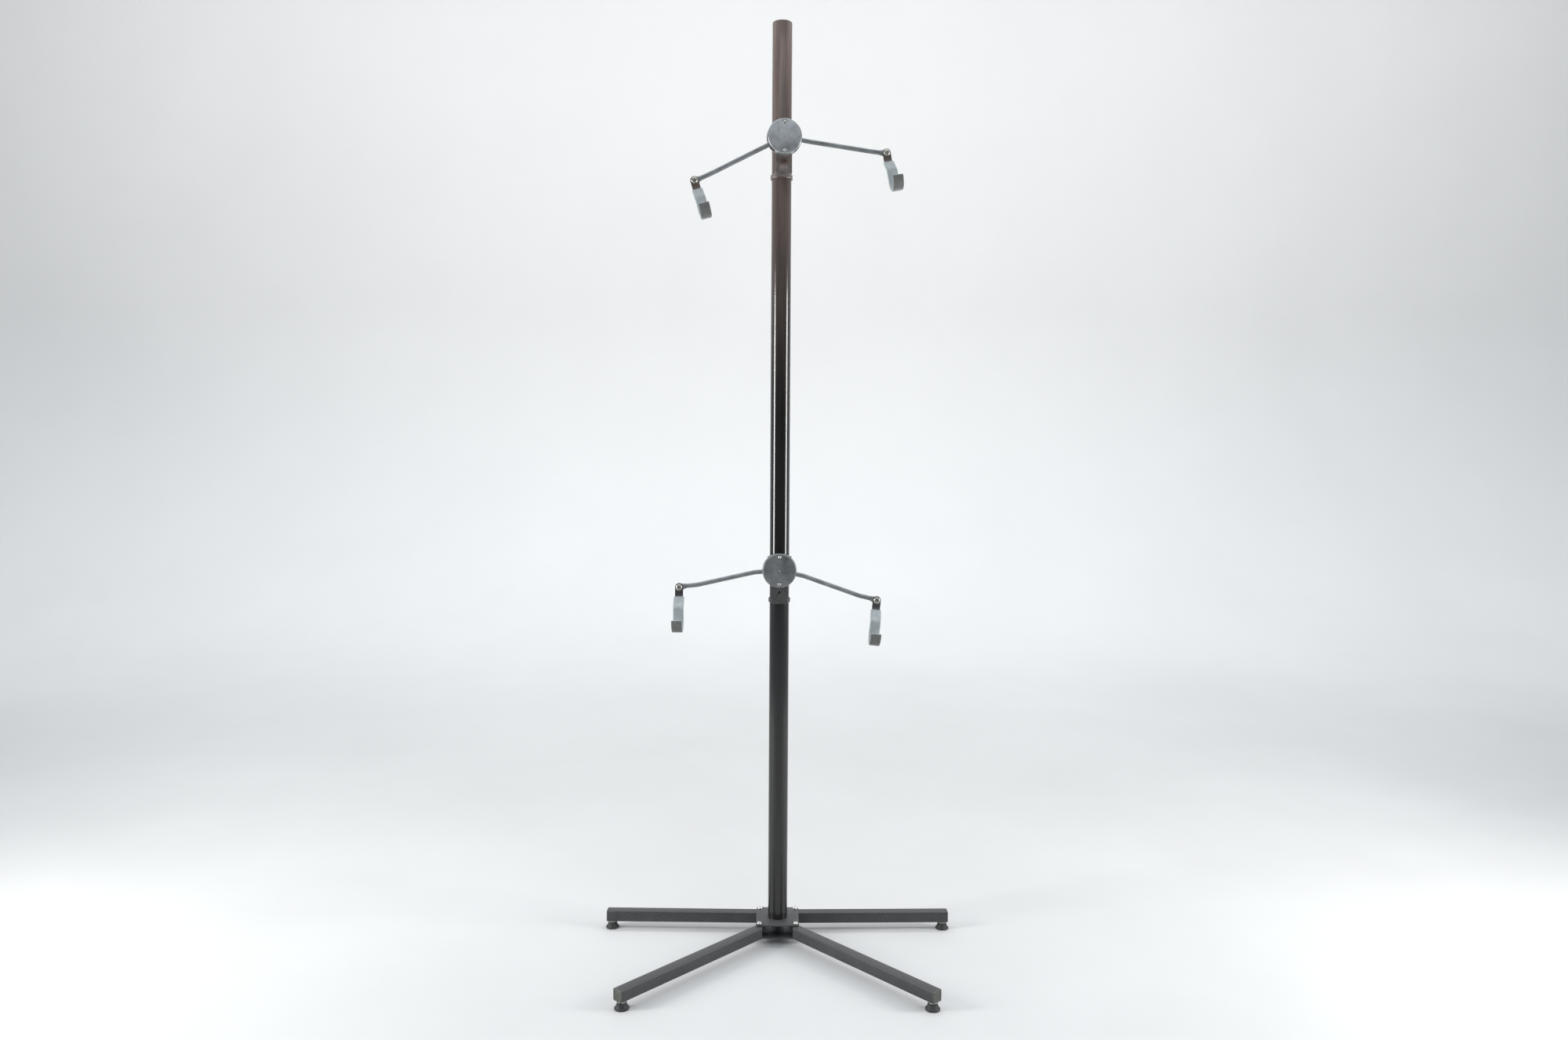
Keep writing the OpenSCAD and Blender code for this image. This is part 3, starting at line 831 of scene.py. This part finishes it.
class STAND_OT_base_fasteners(StandOperator):
    """Builds one domed leg bolt and one nut, and copies them to the four corners."""

    bl_idname = "stand.base_fasteners"
    bl_label = "Leg bolts and nuts"

    def execute(self, context):
        plate_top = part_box("base_top_plate")[1].z / MM
        bolt_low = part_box("base_bolts")[0].z / MM
        nut_low, nut_high = (corner.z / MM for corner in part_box("base_nuts"))
        dome = [(0, 5.0), (1.6, 5.0), (2.6, 4.6), (3.4, 3.8), (3.85, 2.8), (4.0, 1.9)]
        head = turned([(plate_top + rise, radius) for rise, radius in dome], 32)
        socket = hex_nut(3.4, plate_top + 2.3, plate_top + 6)
        cut_away(head, socket)
        shank = turned(
            [(bolt_low, 2.6), (bolt_low + 0.4, 3.0), (plate_top + 0.5, 3.0)], 24
        )
        bolt = join([head, shank])
        nut = hex_nut(10, nut_low, nut_high)
        places = [
            Matrix.Translation((joint["pos_m"][0], joint["pos_m"][1], 0))
            for joint in (JOINTS[f"{leg}_leg_swing"] for leg in LEGS)
        ]
        bolts = join([duplicate(bolt, place) for place in places])
        nuts = join([duplicate(nut, place) for place in places])
        remove(bolt, nut)
        finish_piece(bolts, "base_leg_bolts", "stand", "zinc", ["base_bolts"])
        finish_piece(nuts, "base_leg_nuts", "stand", "zinc", ["base_nuts"], smooth=20)
        return {"FINISHED"}


class STAND_OT_legs(StandOperator):
    """Builds the four square-tube legs and the plugs in their ends."""

    bl_idname = "stand.legs"
    bl_label = "Legs"

    def tube(self, leg, place, reach):
        """An open square tube; a front one is mitred beside its neighbour."""
        sizes = self.sizes
        low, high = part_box(f"{leg}_leg")
        half = (high.z - low.z) / 2 / MM
        front = leg.startswith("front")
        start = -3 * half if front else -11.5
        end = reach / MM + sizes.foot_inset - 2
        tube = block((start, -sizes.leg_offset - half, -half), (end, half - sizes.leg_offset, half))
        start_edit(tube)
        select_edges(lambda middle, along: abs(along.x) > 0.99)
        bevel_selected(sizes.tube_corner * MM, 4)
        select_faces(lambda middle, normal: abs(normal.x) > 0.99)
        bpy.ops.mesh.delete(type="FACE")
        end_edit()
        tube.matrix_world = place
        apply_place(tube)
        if front:
            start_edit(tube)
            bpy.ops.mesh.select_all(action="SELECT")
            mitre = low.x if leg.endswith("right") else high.x
            side = 1 if leg.endswith("right") else -1
            bpy.ops.mesh.bisect(
                plane_co=(mitre, 0, 0), plane_no=(side, 0, 0), clear_inner=True
            )
            end_edit()
        tidy_mesh(tube)
        wall = sizes.tube_wall * MM
        return modify(tube, "SOLIDIFY", thickness=wall, offset=-1, use_even_offset=True)

    def step_in(self, end, shrink, step):
        """Extrudes the selected end face along the leg and shrinks it about the tube's middle."""
        extrude((step * MM, 0, 0))
        middle = (end * MM, -self.sizes.leg_offset * MM, 0)
        bpy.ops.transform.resize(value=(1, shrink, shrink), center_override=middle)

    def plug(self, place, reach, half):
        """A pressed-in plug with a rounded rim and a shallow field."""
        sizes = self.sizes
        end = reach / MM + sizes.foot_inset
        plug = block(
            (end - 1.9, -sizes.leg_offset - half, -half), (end, half - sizes.leg_offset, half)
        )
        start_edit(plug)
        select_edges(lambda middle, along: abs(along.x) > 0.99)
        bevel_selected(sizes.tube_corner * MM, 4)
        select_faces(lambda middle, normal: normal.x > 0.99)
        bpy.ops.mesh.region_to_loop()
        bevel_selected(0.7 * MM, 3)
        select_faces(lambda middle, normal: normal.x > 0.99)
        self.step_in(end, 0.80, 0)
        self.step_in(end, 0.96, -0.45)
        select_faces(lambda middle, normal: normal.x < -0.99)
        self.step_in(end - 1.9, 0.85, 0)
        self.step_in(end - 1.9, 1.0, -5)
        end_edit()
        plug.matrix_world = place
        return apply_place(plug)

    def execute(self, context):
        for leg in LEGS:
            place, reach = leg_place(leg, self.sizes.leg_offset * MM)
            low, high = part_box(f"{leg}_leg")
            body = f"{leg}_leg"
            tube = self.tube(leg, place, reach)
            finish_piece(tube, f"{leg}_leg_tube", body, "base", [body])
            plug = self.plug(place, reach, (high.z - low.z) / 2 / MM)
            finish_piece(
                plug, f"{leg}_leg_end_plug", body, "plug", [f"{leg}_leg_plug"]
            )
        return {"FINISHED"}


class STAND_OT_feet(StandOperator):
    """Builds one rubber foot and one threaded stud, and copies them under the legs."""

    bl_idname = "stand.feet"
    bl_label = "Feet"

    def execute(self, context):
        low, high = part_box("front_left_foot_pad")
        height = high.z / MM
        base = (high.x - low.x) / 2 / MM
        neck = 8.8
        bell = [
            (0, base - 1.0), (0.35, base - 0.25), (0.9, base), (2.3, base),
            (3.0, base - 0.35), (3.5, base - 1.1), (5.0, base - 2.1), (7.0, base - 3.25),
            (9.0, base - 4.1), (11.0, neck + 0.35), (height - 0.7, neck + 0.1),
            (height - 0.15, neck - 0.2), (height, neck - 0.9), (height, 4.2),
            (height - 1, 4.2),
        ]
        pad = turned(bell, 56)
        stud_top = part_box("front_left_foot_stud")[1].z / MM
        washer = turned(
            [(height, 7.9), (height + 0.2, 8.2), (height + 1.1, 8.2), (height + 1.3, 7.9)], 48
        )
        nut = hex_nut(13, height + 1.3, height + 3)
        thread = [(height - 7, 3.6)]
        pitch = 1.25
        turns = int((stud_top - height - 4) / pitch)
        for turn in range(turns):
            start = height + 3 + turn * pitch
            thread += [(start, 3.6), (start + pitch / 2, 4.0)]
        thread += [(stud_top - 0.4, 3.8), (stud_top, 3.3)]
        stud = join([turned(thread, 24), washer, nut])
        for leg in LEGS:
            middle = node_middle(f"{leg}_foot_pad")
            place = Matrix.Translation((middle.x, middle.y, 0))
            body = f"{leg}_foot"
            finish_piece(
                duplicate(pad, place),
                f"{leg}_foot_rubber",
                body,
                "rubber",
                [f"{leg}_foot_pad"],
            )
            finish_piece(
                duplicate(stud, place),
                f"{leg}_foot_screw",
                body,
                "zinc",
                [f"{leg}_foot_stud"],
                smooth=28,
            )
        remove(pad, stud)
        return {"FINISHED"}


class STAND_OT_brackets(StandOperator):
    """Rounds the edges of each cradle's bracket and dresses its hidden parts."""

    bl_idname = "stand.brackets"
    bl_label = "Brackets"

    def execute(self, context):
        for cradle in CRADLES:
            node = f"{cradle}_bracket"
            bracket = duplicate(frame["nodes"][node])
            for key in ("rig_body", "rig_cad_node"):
                del bracket[key]
            bracket.parent = None
            tidy_mesh(bracket)
            start_edit(bracket)
            bpy.ops.mesh.select_all(action="SELECT")
            bpy.ops.mesh.dissolve_limited(angle_limit=math.radians(0.5))
            end_edit()
            round_edges(bracket, 0.5, 2, 50)
            finish_piece(bracket, f"{cradle}_bracket_welded", node, node, [node])
            dress_node(f"{cradle}_bushes", "nylon")
            dress_node(f"{cradle}_clamp_pad", "nylon")
            dress_node(f"{cradle}_clamp_screw", "zinc")
            dress_node(f"{cradle}_hub_washers", "zinc")
            dress_node(f"{cradle}_pivot_bolt", "zinc")
        return {"FINISHED"}


class STAND_OT_hub_caps(StandOperator):
    """Builds one hub cap with its windows, screws and pivot end, and copies it to each cradle."""

    bl_idname = "stand.hub_caps"
    bl_label = "Hub caps"

    back = 51.0
    window_front = 61.9
    face = 66.0
    radius = 34.0
    wall = 2.5
    screw_height = 27.0
    window_low = -54.5
    window_high = 24.5

    def in_window(self, middle):
        """Whether a place on the skirt lies in one of the two arm windows."""
        angle = math.degrees(math.atan2(middle.y, abs(middle.x)))
        return self.window_low < angle < self.window_high

    def cap(self):
        """The cap along +Z, its open back at height 0 and its Y to the top of the hub."""
        skirt = self.window_front - self.back
        clear_selection()
        bpy.ops.mesh.primitive_cylinder_add(
            vertices=144,
            radius=self.radius * MM,
            depth=skirt * MM,
            location=(0, 0, skirt / 2 * MM),
        )
        cap = apply_place(bpy.context.object)
        start_edit(cap)
        select_faces(lambda middle, normal: normal.z > 0.99)
        extrude((0, 0, (self.face - self.window_front) * MM))
        bpy.ops.mesh.region_to_loop()
        bevel_selected(2.5 * MM, 5)
        select_faces(lambda middle, normal: normal.z > 0.99)
        for inset, rise in ((5, 0.5), (7, 0.42), (8, 0.22), (6, 0.06)):
            bpy.ops.mesh.inset(thickness=inset * MM)
            bpy.ops.transform.translate(value=(0, 0, rise * MM))
        select_faces(lambda middle, normal: normal.z < -0.99)
        bpy.ops.mesh.delete(type="FACE")
        select_faces(
            lambda middle, normal: abs(normal.z) < 0.1
            and middle.z < skirt * MM
            and self.in_window(middle)
        )
        bpy.ops.mesh.delete(type="FACE")
        end_edit()
        tidy_mesh(cap)
        modify(cap, "SOLIDIFY", thickness=self.wall * MM, offset=-1)
        front = self.face - self.back
        for side in (-1, 1):
            well = turned([(front - 1.3, 4.4), (front + 3, 4.4)], 32)
            well.matrix_world = Matrix.Translation((0, side * self.screw_height * MM, 0))
            cut_away(cap, apply_place(well))
        return cap

    def screws(self):
        """Two domed cross-head screws in their wells."""
        floor = self.face - self.back - 1.4
        dome = [(0, 3.5), (0.9, 3.5), (1.7, 3.1), (2.2, 2.2), (2.4, 1.2)]
        screw = turned([(floor + rise, radius) for rise, radius in dome], 32)
        cross_recess(screw, floor + 2.4, 3.8, 0.9, 1.3)
        shank = turned([(-7, 1.7), (-6.7, 2.0), (floor, 2.0)], 20)
        screw = join([screw, shank])
        copies = [
            duplicate(screw, Matrix.Translation((0, side * self.screw_height * MM, 0)))
            for side in (-1, 1)
        ]
        remove(screw)
        return join(copies)

    def execute(self, context):
        cap = self.cap()
        screws = self.screws()
        front = self.face - self.back + 0.5
        dome = [(-2, 2.0), (0, 2.0), (0.45, 1.8), (0.8, 1.2), (0.9, 0.5)]
        pivot_end = turned([(front + rise, radius) for rise, radius in dome], 24)
        for cradle in CRADLES:
            place = cradle_place(cradle) @ facing_forward(self.back)
            body = f"{cradle}_bracket"
            finish_piece(
                duplicate(cap, place),
                f"{cradle}_hub_cap_domed",
                body,
                f"{cradle}_cap",
                [f"{cradle}_hub_cap"],
                smooth=30,
            )
            finish_piece(
                duplicate(screws, place),
                f"{cradle}_hub_cap_screws",
                body,
                "zinc",
                [f"{cradle}_hub_screws"],
            )
            finish_piece(duplicate(pivot_end, place), f"{cradle}_pivot_end", body, "zinc")
        remove(cap, screws, pivot_end)
        return {"FINISHED"}


class STAND_OT_arms(StandOperator):
    """Builds each bent rod arm with the flat eyes at its ends."""

    bl_idname = "stand.arms"
    bl_label = "Arms"

    eye_thickness = 4.0
    eye_gap = 0.05

    def rod(self, rise, reach, step):
        """The rod, bent forward on its way out and flattened at its tip."""
        sizes = self.sizes
        start = Vector((13 * math.cos(rise), 0, 13 * math.sin(rise)))
        root = Vector((50 * math.cos(rise), 0, 50 * math.sin(rise)))
        clear_selection()
        bpy.ops.mesh.primitive_cylinder_add(
            vertices=28,
            radius=sizes.rod / 2 * MM,
            depth=MM,
            location=(start + root.normalized() * 0.5) * MM,
            rotation=(0, math.radians(90) - rise, 0),
        )
        rod = apply_place(bpy.context.object)
        start_edit(rod)
        along = root.normalized()
        select_faces(lambda middle, normal: normal.dot(along) > 0.99)
        corners = [
            start + along,
            root,
            (reach - 36, -step, -1.5),
            (reach - 15, -step, -0.4),
        ]
        run_through(corners, sizes.rod_bend)
        for out, thin, wide, forward in (
            (2.5, 0.86, 1.10, 0.3),
            (2.5, 0.80, 1.12, 0.8),
            (2.5, 0.78, 1.10, 0.7),
            (3.0, 0.86, 1.02, 0.3),
        ):
            extrude((out * MM, -forward * MM, 0))
            bpy.ops.transform.resize(value=(1, thin, wide), center_override=self.end_middle())
        return end_edit()

    def end_middle(self):
        """The middle of the selected end face."""
        mesh = bmesh.from_edit_mesh(bpy.context.edit_object.data)
        ends = [face.calc_center_median() for face in mesh.faces if face.select]
        return ends[0]

    def execute(self, context):
        for index, arm in enumerate(ARMS):
            joint = Vector(JOINTS[f"{arm}_hook_turn"]["pos_m"])
            place = arm_place(arm)
            tip = place.inverted() @ joint / MM
            # the hook's strap stands just clear of the front of the arm's eye
            strap_half = self.sizes.strap_thickness / 2
            eye_front = -tip.y - strap_half
            step = eye_front - 5
            rise = math.radians(self.sizes.root_rise[index])
            rod = self.rod(rise, tip.x, step)
            front = self.eye_thickness - self.eye_gap
            eye = turned([(0, 7.4), (0.5, 8.0), (3.5, 8.0), (front, 7.4)], 40)
            eye.matrix_world = facing_forward(eye_front - self.eye_thickness, 0, tip.x)
            lap = 0.2 if arm.endswith("left") else -4.4
            rim = [(lap, 10.7), (lap + 0.3, 11), (lap + 3.9, 11), (lap + 4.2, 10.7)]
            root_eye = turned(rim, 40)
            root_eye.matrix_world = facing_forward(0)
            bar = block((4, -lap - 4.2, -4), (15.5, -lap, 4))
            bar.matrix_world = Matrix.Rotation(-rise, 4, "Y")
            parts = [rod] + [apply_place(part) for part in (eye, root_eye, bar)]
            finish_piece(
                join(parts),
                f"{arm}_arm_rod",
                f"{arm}_arm",
                "arm",
                [f"{arm}_arm"],
                place,
            )
        return {"FINISHED"}


class STAND_OT_hooks(StandOperator):
    """Builds one hook strap, its vinyl coat and its screw, and copies them to the four arms."""

    bl_idname = "stand.hooks"
    bl_label = "Hooks"

    back = 20.5
    bend_height = -61.75
    slope_top = -16.0
    slope_low = -39.0
    tip = -57.8

    def follow_hook(self, start, end_inset):
        """Runs the selected end from start round the hook's bend and up to its tip."""
        throat = self.sizes.throat
        corners = [start, (0, -self.back, self.slope_low), (0, -self.back, self.bend_height)]
        if start[2] > self.slope_top:
            corners.insert(1, (0, 0, self.slope_top))
        run_through(corners, 8, 6)
        centre = Vector((0, -self.back - throat, self.bend_height)) * MM
        swing_end(centre, Vector((-1, 0, 0)), math.pi, 26)
        extrude((0, 0, (self.tip - self.bend_height - end_inset) * MM))

    def strap(self):
        """The steel strap, with a round end about its screw."""
        sizes = self.sizes
        half, thick = sizes.strap_width / 2, sizes.strap_thickness / 2
        strap = block((-half, -thick, -10), (half, thick, half))
        start_edit(strap)
        select_edges(lambda middle, along: abs(along.y) > 0.99 and middle.z > 0)
        bevel_selected((half - 0.02) * MM, 14)
        select_faces(lambda middle, normal: normal.z < -0.99)
        self.follow_hook((0, 0, -10), 3)
        end_edit()
        return round_edges(strap, 0.45, 2, 50)

    def sleeve(self):
        """The dipped coat, with soft corners and rolled ends."""
        sizes = self.sizes
        half, thick = sizes.sleeve_width / 2, sizes.sleeve_thickness / 2
        slope = math.atan2(self.back, self.slope_top - self.slope_low)
        heading = Vector((0, -math.sin(slope), -math.cos(slope)))
        top = Vector((0, -3.1, -19.5))
        middle = top + heading
        size = Vector((half, thick, 1))
        sleeve = block(middle - size, middle + size, rotation=(-slope, 0, 0))
        start_edit(sleeve)
        select_edges(lambda place, along: abs(along.dot(heading)) > 0.99)
        bevel_selected(2.3 * MM, 5)
        select_faces(lambda place, normal: normal.dot(heading) < -0.99)
        bpy.ops.mesh.region_to_loop()
        bevel_selected(0.9 * MM, 3)
        select_faces(lambda place, normal: normal.dot(heading) > 0.99)
        self.follow_hook(tuple(top + heading * 2), 0)
        bpy.ops.mesh.region_to_loop()
        bevel_selected(1.7 * MM, 4)
        sleeve = end_edit()
        self.mark_painted_tip_shade(sleeve)
        return sleeve

    def mark_painted_tip_shade(self, sleeve):
        """Stores where the coat gets painted shade: the outer face of its tip, which faces forward.
        """
        mark = sleeve.data.attributes.new("painted_tip_shade", "FLOAT", "POINT")
        # painted shade: the mask is strongest on the front of the tip and on the outside of the
        # bend
        middle = Vector((-self.back - self.sizes.throat, self.bend_height)) * MM
        for vertex, value in zip(sleeve.data.vertices, mark.data):
            out = vertex.co.yz - middle
            upright = out.y > 0 and out.x < -(self.sizes.throat + 0.5) * MM
            round_part = out.y <= 0 and out.length > (self.sizes.throat + 0.5) * MM
            inside_tip = vertex.co.z < (self.tip - 0.8) * MM
            if inside_tip and (upright or round_part):
                value.value = min(1.0, max(0.0, 0.35 - out.x / self.sizes.throat / MM))

    def screw(self):
        """A pan-head screw with its washer in front of the strap, and its nut behind the arm."""
        front = self.sizes.strap_thickness / 2
        pan = [(0.7, 5.9), (1.9, 5.8), (2.8, 5.0), (3.25, 3.8), (3.4, 2.6)]
        head = turned([(front + rise, radius) for rise, radius in pan], 40)
        cross_recess(head, front + 3.4, 6.2, 1.5, 2.0)
        washer = turned(
            [(front, 6.6), (front + 0.15, 6.85), (front + 0.6, 6.85), (front + 0.8, 6.5)], 40
        )
        back = -front - 4
        shank = turned([(back - 6, 2.5), (back - 5.6, 3.0), (front + 0.4, 3.0)], 24)
        nut = hex_nut(10, back - 5, back)
        return join([head, washer, shank, nut])

    def execute(self, context):
        strap, sleeve, screw = self.strap(), self.sleeve(), self.screw()
        for arm in ARMS:
            place = hook_place(arm, getattr(self.sizes, f"{arm}_lean"))
            hook = f"{arm}_hook"
            finish_piece(
                duplicate(strap, place),
                f"{arm}_hook_strap",
                hook,
                f"{arm.split('_')[0]}_strap",
                [f"{arm}_strap"],
            )
            finish_piece(
                duplicate(sleeve, place),
                f"{arm}_hook_coat",
                hook,
                "vinyl",
                [f"{arm}_sleeve"],
                smooth=45,
            )
            finish_piece(
                duplicate(screw, place @ facing_forward(0)),
                f"{arm}_hook_screw",
                f"{arm}_arm",
                "nickel",
                [f"{arm}_hook_bolt"],
            )
        remove(strap, sleeve, screw)
        return {"FINISHED"}


class STAND_OT_knobs(StandOperator):
    """Builds one lobed clamp knob and copies it behind each cradle."""

    bl_idname = "stand.knobs"
    bl_label = "Clamp knobs"

    def knob(self):
        """A six-lobed knob along +Z with a sunk field in its back face."""
        profile = [
            (0, 9.0), (0, 15.4), (0.8, 16.4), (2.2, 17.0), (7.0, 17.0), (11.8, 16.9),
            (13.2, 16.2), (14.0, 14.6), (14.0, 9.5), (13.2, 8.8), (13.2, 3.0),
        ]
        knob = turned(profile, 96)
        start_edit(knob)
        for half_width, squeeze in ((13, 0.965), (9.5, 0.965), (6, 0.975)):
            select_vertices(
                lambda place: place.xy.length > 12 * MM
                and abs((math.degrees(math.atan2(place.y, place.x)) % 60) - 30) < half_width
            )
            bpy.ops.transform.resize(value=(squeeze, squeeze, 1), center_override=(0, 0, 0))
        end_edit()
        return knob

    def execute(self, context):
        knob = self.knob()
        for cradle in CRADLES:
            node = f"{cradle}_clamp_knob"
            place = cradle_place(cradle)
            back = place.to_3x3().col[1]
            low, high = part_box(node)
            middle = (low + high) / 2
            origin = middle - back * 7 * MM
            turned_back = placed(origin, -place.to_3x3().col[0], UP, back)
            finish_piece(
                duplicate(knob, turned_back),
                f"{cradle}_clamp_knob_lobed",
                node,
                "knob",
                [node],
                smooth=40,
            )
        remove(knob)
        return {"FINISHED"}


class STAND_OT_stage(StandOperator):
    """Lays the floor and sets the lights, the world and the camera."""

    bl_idname = "stand.stage"
    bl_label = "Stage"

    def soft_light(self, name, location, aim, size, power, colour):
        """A rectangular soft light that faces a point."""
        bpy.ops.object.light_add(type="AREA", location=location)
        light = bpy.context.object
        light.name = name
        light.rotation_euler = (Vector(aim) - light.location).to_track_quat("-Z", "Y").to_euler()
        light.data.shape = "RECTANGLE"
        light.data.size, light.data.size_y = size
        light.data.energy = power
        light.data.color = colour

    def backdrop(self):
        """A floor that curves up into a wall behind the stand."""
        bpy.ops.mesh.primitive_plane_add(size=1, location=(0, -1.5, 0))
        floor = bpy.context.object
        floor.scale = (16, 9, 1)
        start_edit(apply_place(floor))
        select_edges(lambda middle, along: middle.y > 2.9)
        swing_end(Vector((0, 3, 2)), Vector((1, 0, 0)), math.radians(90), 24)
        extrude((0, 0, 6))
        end_edit()
        bpy.ops.object.shade_smooth()
        floor.name = "floor"
        floor.data.materials.append(MATERIALS["floor"])
        clear_selection()

    def world(self, scene):
        """Even studio light that is brighter behind the stand than behind the camera."""
        scene.world = bpy.data.worlds.new("studio")
        scene.world.use_nodes = True
        tree = scene.world.node_tree
        background = tree.nodes["Background"]
        split = tree.nodes.new("ShaderNodeSeparateXYZ")
        place = tree.nodes.new("ShaderNodeTexCoord")
        tree.links.new(place.outputs["Generated"], split.inputs[0])
        most = tree.nodes.new("ShaderNodeMath")
        most.operation = "MAXIMUM"
        for index, (axis, dark, bright) in enumerate((("Y", -0.6, 0.6), ("Z", 0.08, 0.55))):
            reach = tree.nodes.new("ShaderNodeMapRange")
            reach.inputs["From Min"].default_value = dark
            reach.inputs["From Max"].default_value = bright
            tree.links.new(split.outputs[axis], reach.inputs["Value"])
            tree.links.new(reach.outputs["Result"], most.inputs[index])
        ramp = tree.nodes.new("ShaderNodeValToRGB")
        ramp.color_ramp.elements[0].color = (0.06, 0.058, 0.056, 1)
        ramp.color_ramp.elements[1].color = (0.60, 0.645, 0.69, 1)
        tree.links.new(most.outputs[0], ramp.inputs["Fac"])
        tree.links.new(ramp.outputs["Color"], background.inputs["Color"])

    def camera(self, scene, pole):
        """A wide lens in front of the stand, a little above its middle."""
        bpy.ops.object.camera_add()
        camera = bpy.context.object
        camera.name = "camera"
        camera.data.lens = 25.2
        camera.data.sensor_width = 36
        yaw, pitch, roll = math.radians(-0.35), math.radians(-2.82), math.radians(0.33)
        view = Matrix.Rotation(yaw, 4, "Z") @ Matrix.Rotation(math.radians(90) + pitch, 4, "X")
        view = view @ Matrix.Rotation(roll, 4, "Z")
        view.translation = pole + Vector((-0.0049, -2.244, 0.978))
        camera.matrix_world = view
        scene.camera = camera

    def execute(self, context):
        clear_selection()
        pole = node_middle("pole")
        pole.z = 0
        self.backdrop()
        middle, upper = pole + Vector((0, 0, 1.1)), pole + Vector((0, 0, 1.7))
        for name, place, aim, size, power, colour in (
            ("overhead", pole + Vector((0.1, 0.0, 3.4)), pole, (3.0, 2.2), 20, WHITE),
            ("wall_wash", (0, 1.6, 4.9), (0, 5, 1.6), (11, 1.6), 200, WHITE),
            ("high_front", (0.2, -3.2, 3.25), upper, (4.6, 1.1), 12, COOL),
            ("left_window", pole + Vector((-2.3, -0.75, 1.12)), middle, (0.5, 1.15), 48, WHITE),
            ("right_window", pole + Vector((2.3, -0.5, 1.12)), middle, (0.6, 1.15), 40, WHITE),
        ):
            self.soft_light(name, place, aim, size, power, colour)
        self.world(context.scene)
        self.camera(context.scene, pole)
        context.scene.view_settings.view_transform = "Standard"
        return {"FINISHED"}


OPERATORS = (
    STAND_OT_materials,
    STAND_OT_pole,
    STAND_OT_base_plates,
    STAND_OT_base_fasteners,
    STAND_OT_legs,
    STAND_OT_feet,
    STAND_OT_brackets,
    STAND_OT_hub_caps,
    STAND_OT_arms,
    STAND_OT_hooks,
    STAND_OT_knobs,
    STAND_OT_stage,
)


class VIEW3D_PT_stand(bpy.types.Panel):
    """Lists the stand's sizes, colours and building steps."""

    bl_label = "Bicycle storage stand"
    bl_space_type = "VIEW_3D"
    bl_region_type = "UI"
    bl_category = "Stand"

    def draw(self, context):
        for group in (context.scene.stand_sizes, context.scene.stand_colours):
            column = self.layout.column()
            for name in group.__annotations__:
                column.prop(group, name)
        for operator in OPERATORS:
            self.layout.operator(operator.bl_idname)


CLASSES = (StandColours, StandSizes, *OPERATORS, VIEW3D_PT_stand)


def register():
    for cls in CLASSES:
        bpy.utils.register_class(cls)
    bpy.types.Scene.stand_colours = PointerProperty(type=StandColours)
    bpy.types.Scene.stand_sizes = PointerProperty(type=StandSizes)


def unregister():
    del bpy.types.Scene.stand_sizes
    del bpy.types.Scene.stand_colours
    for cls in reversed(CLASSES):
        bpy.utils.unregister_class(cls)


def main():
    """Builds the whole scene."""
    register()
    for operator in OPERATORS:
        group, name = operator.bl_idname.split(".")
        getattr(getattr(bpy.ops, group), name)()


if __name__ == "__main__":
    main()
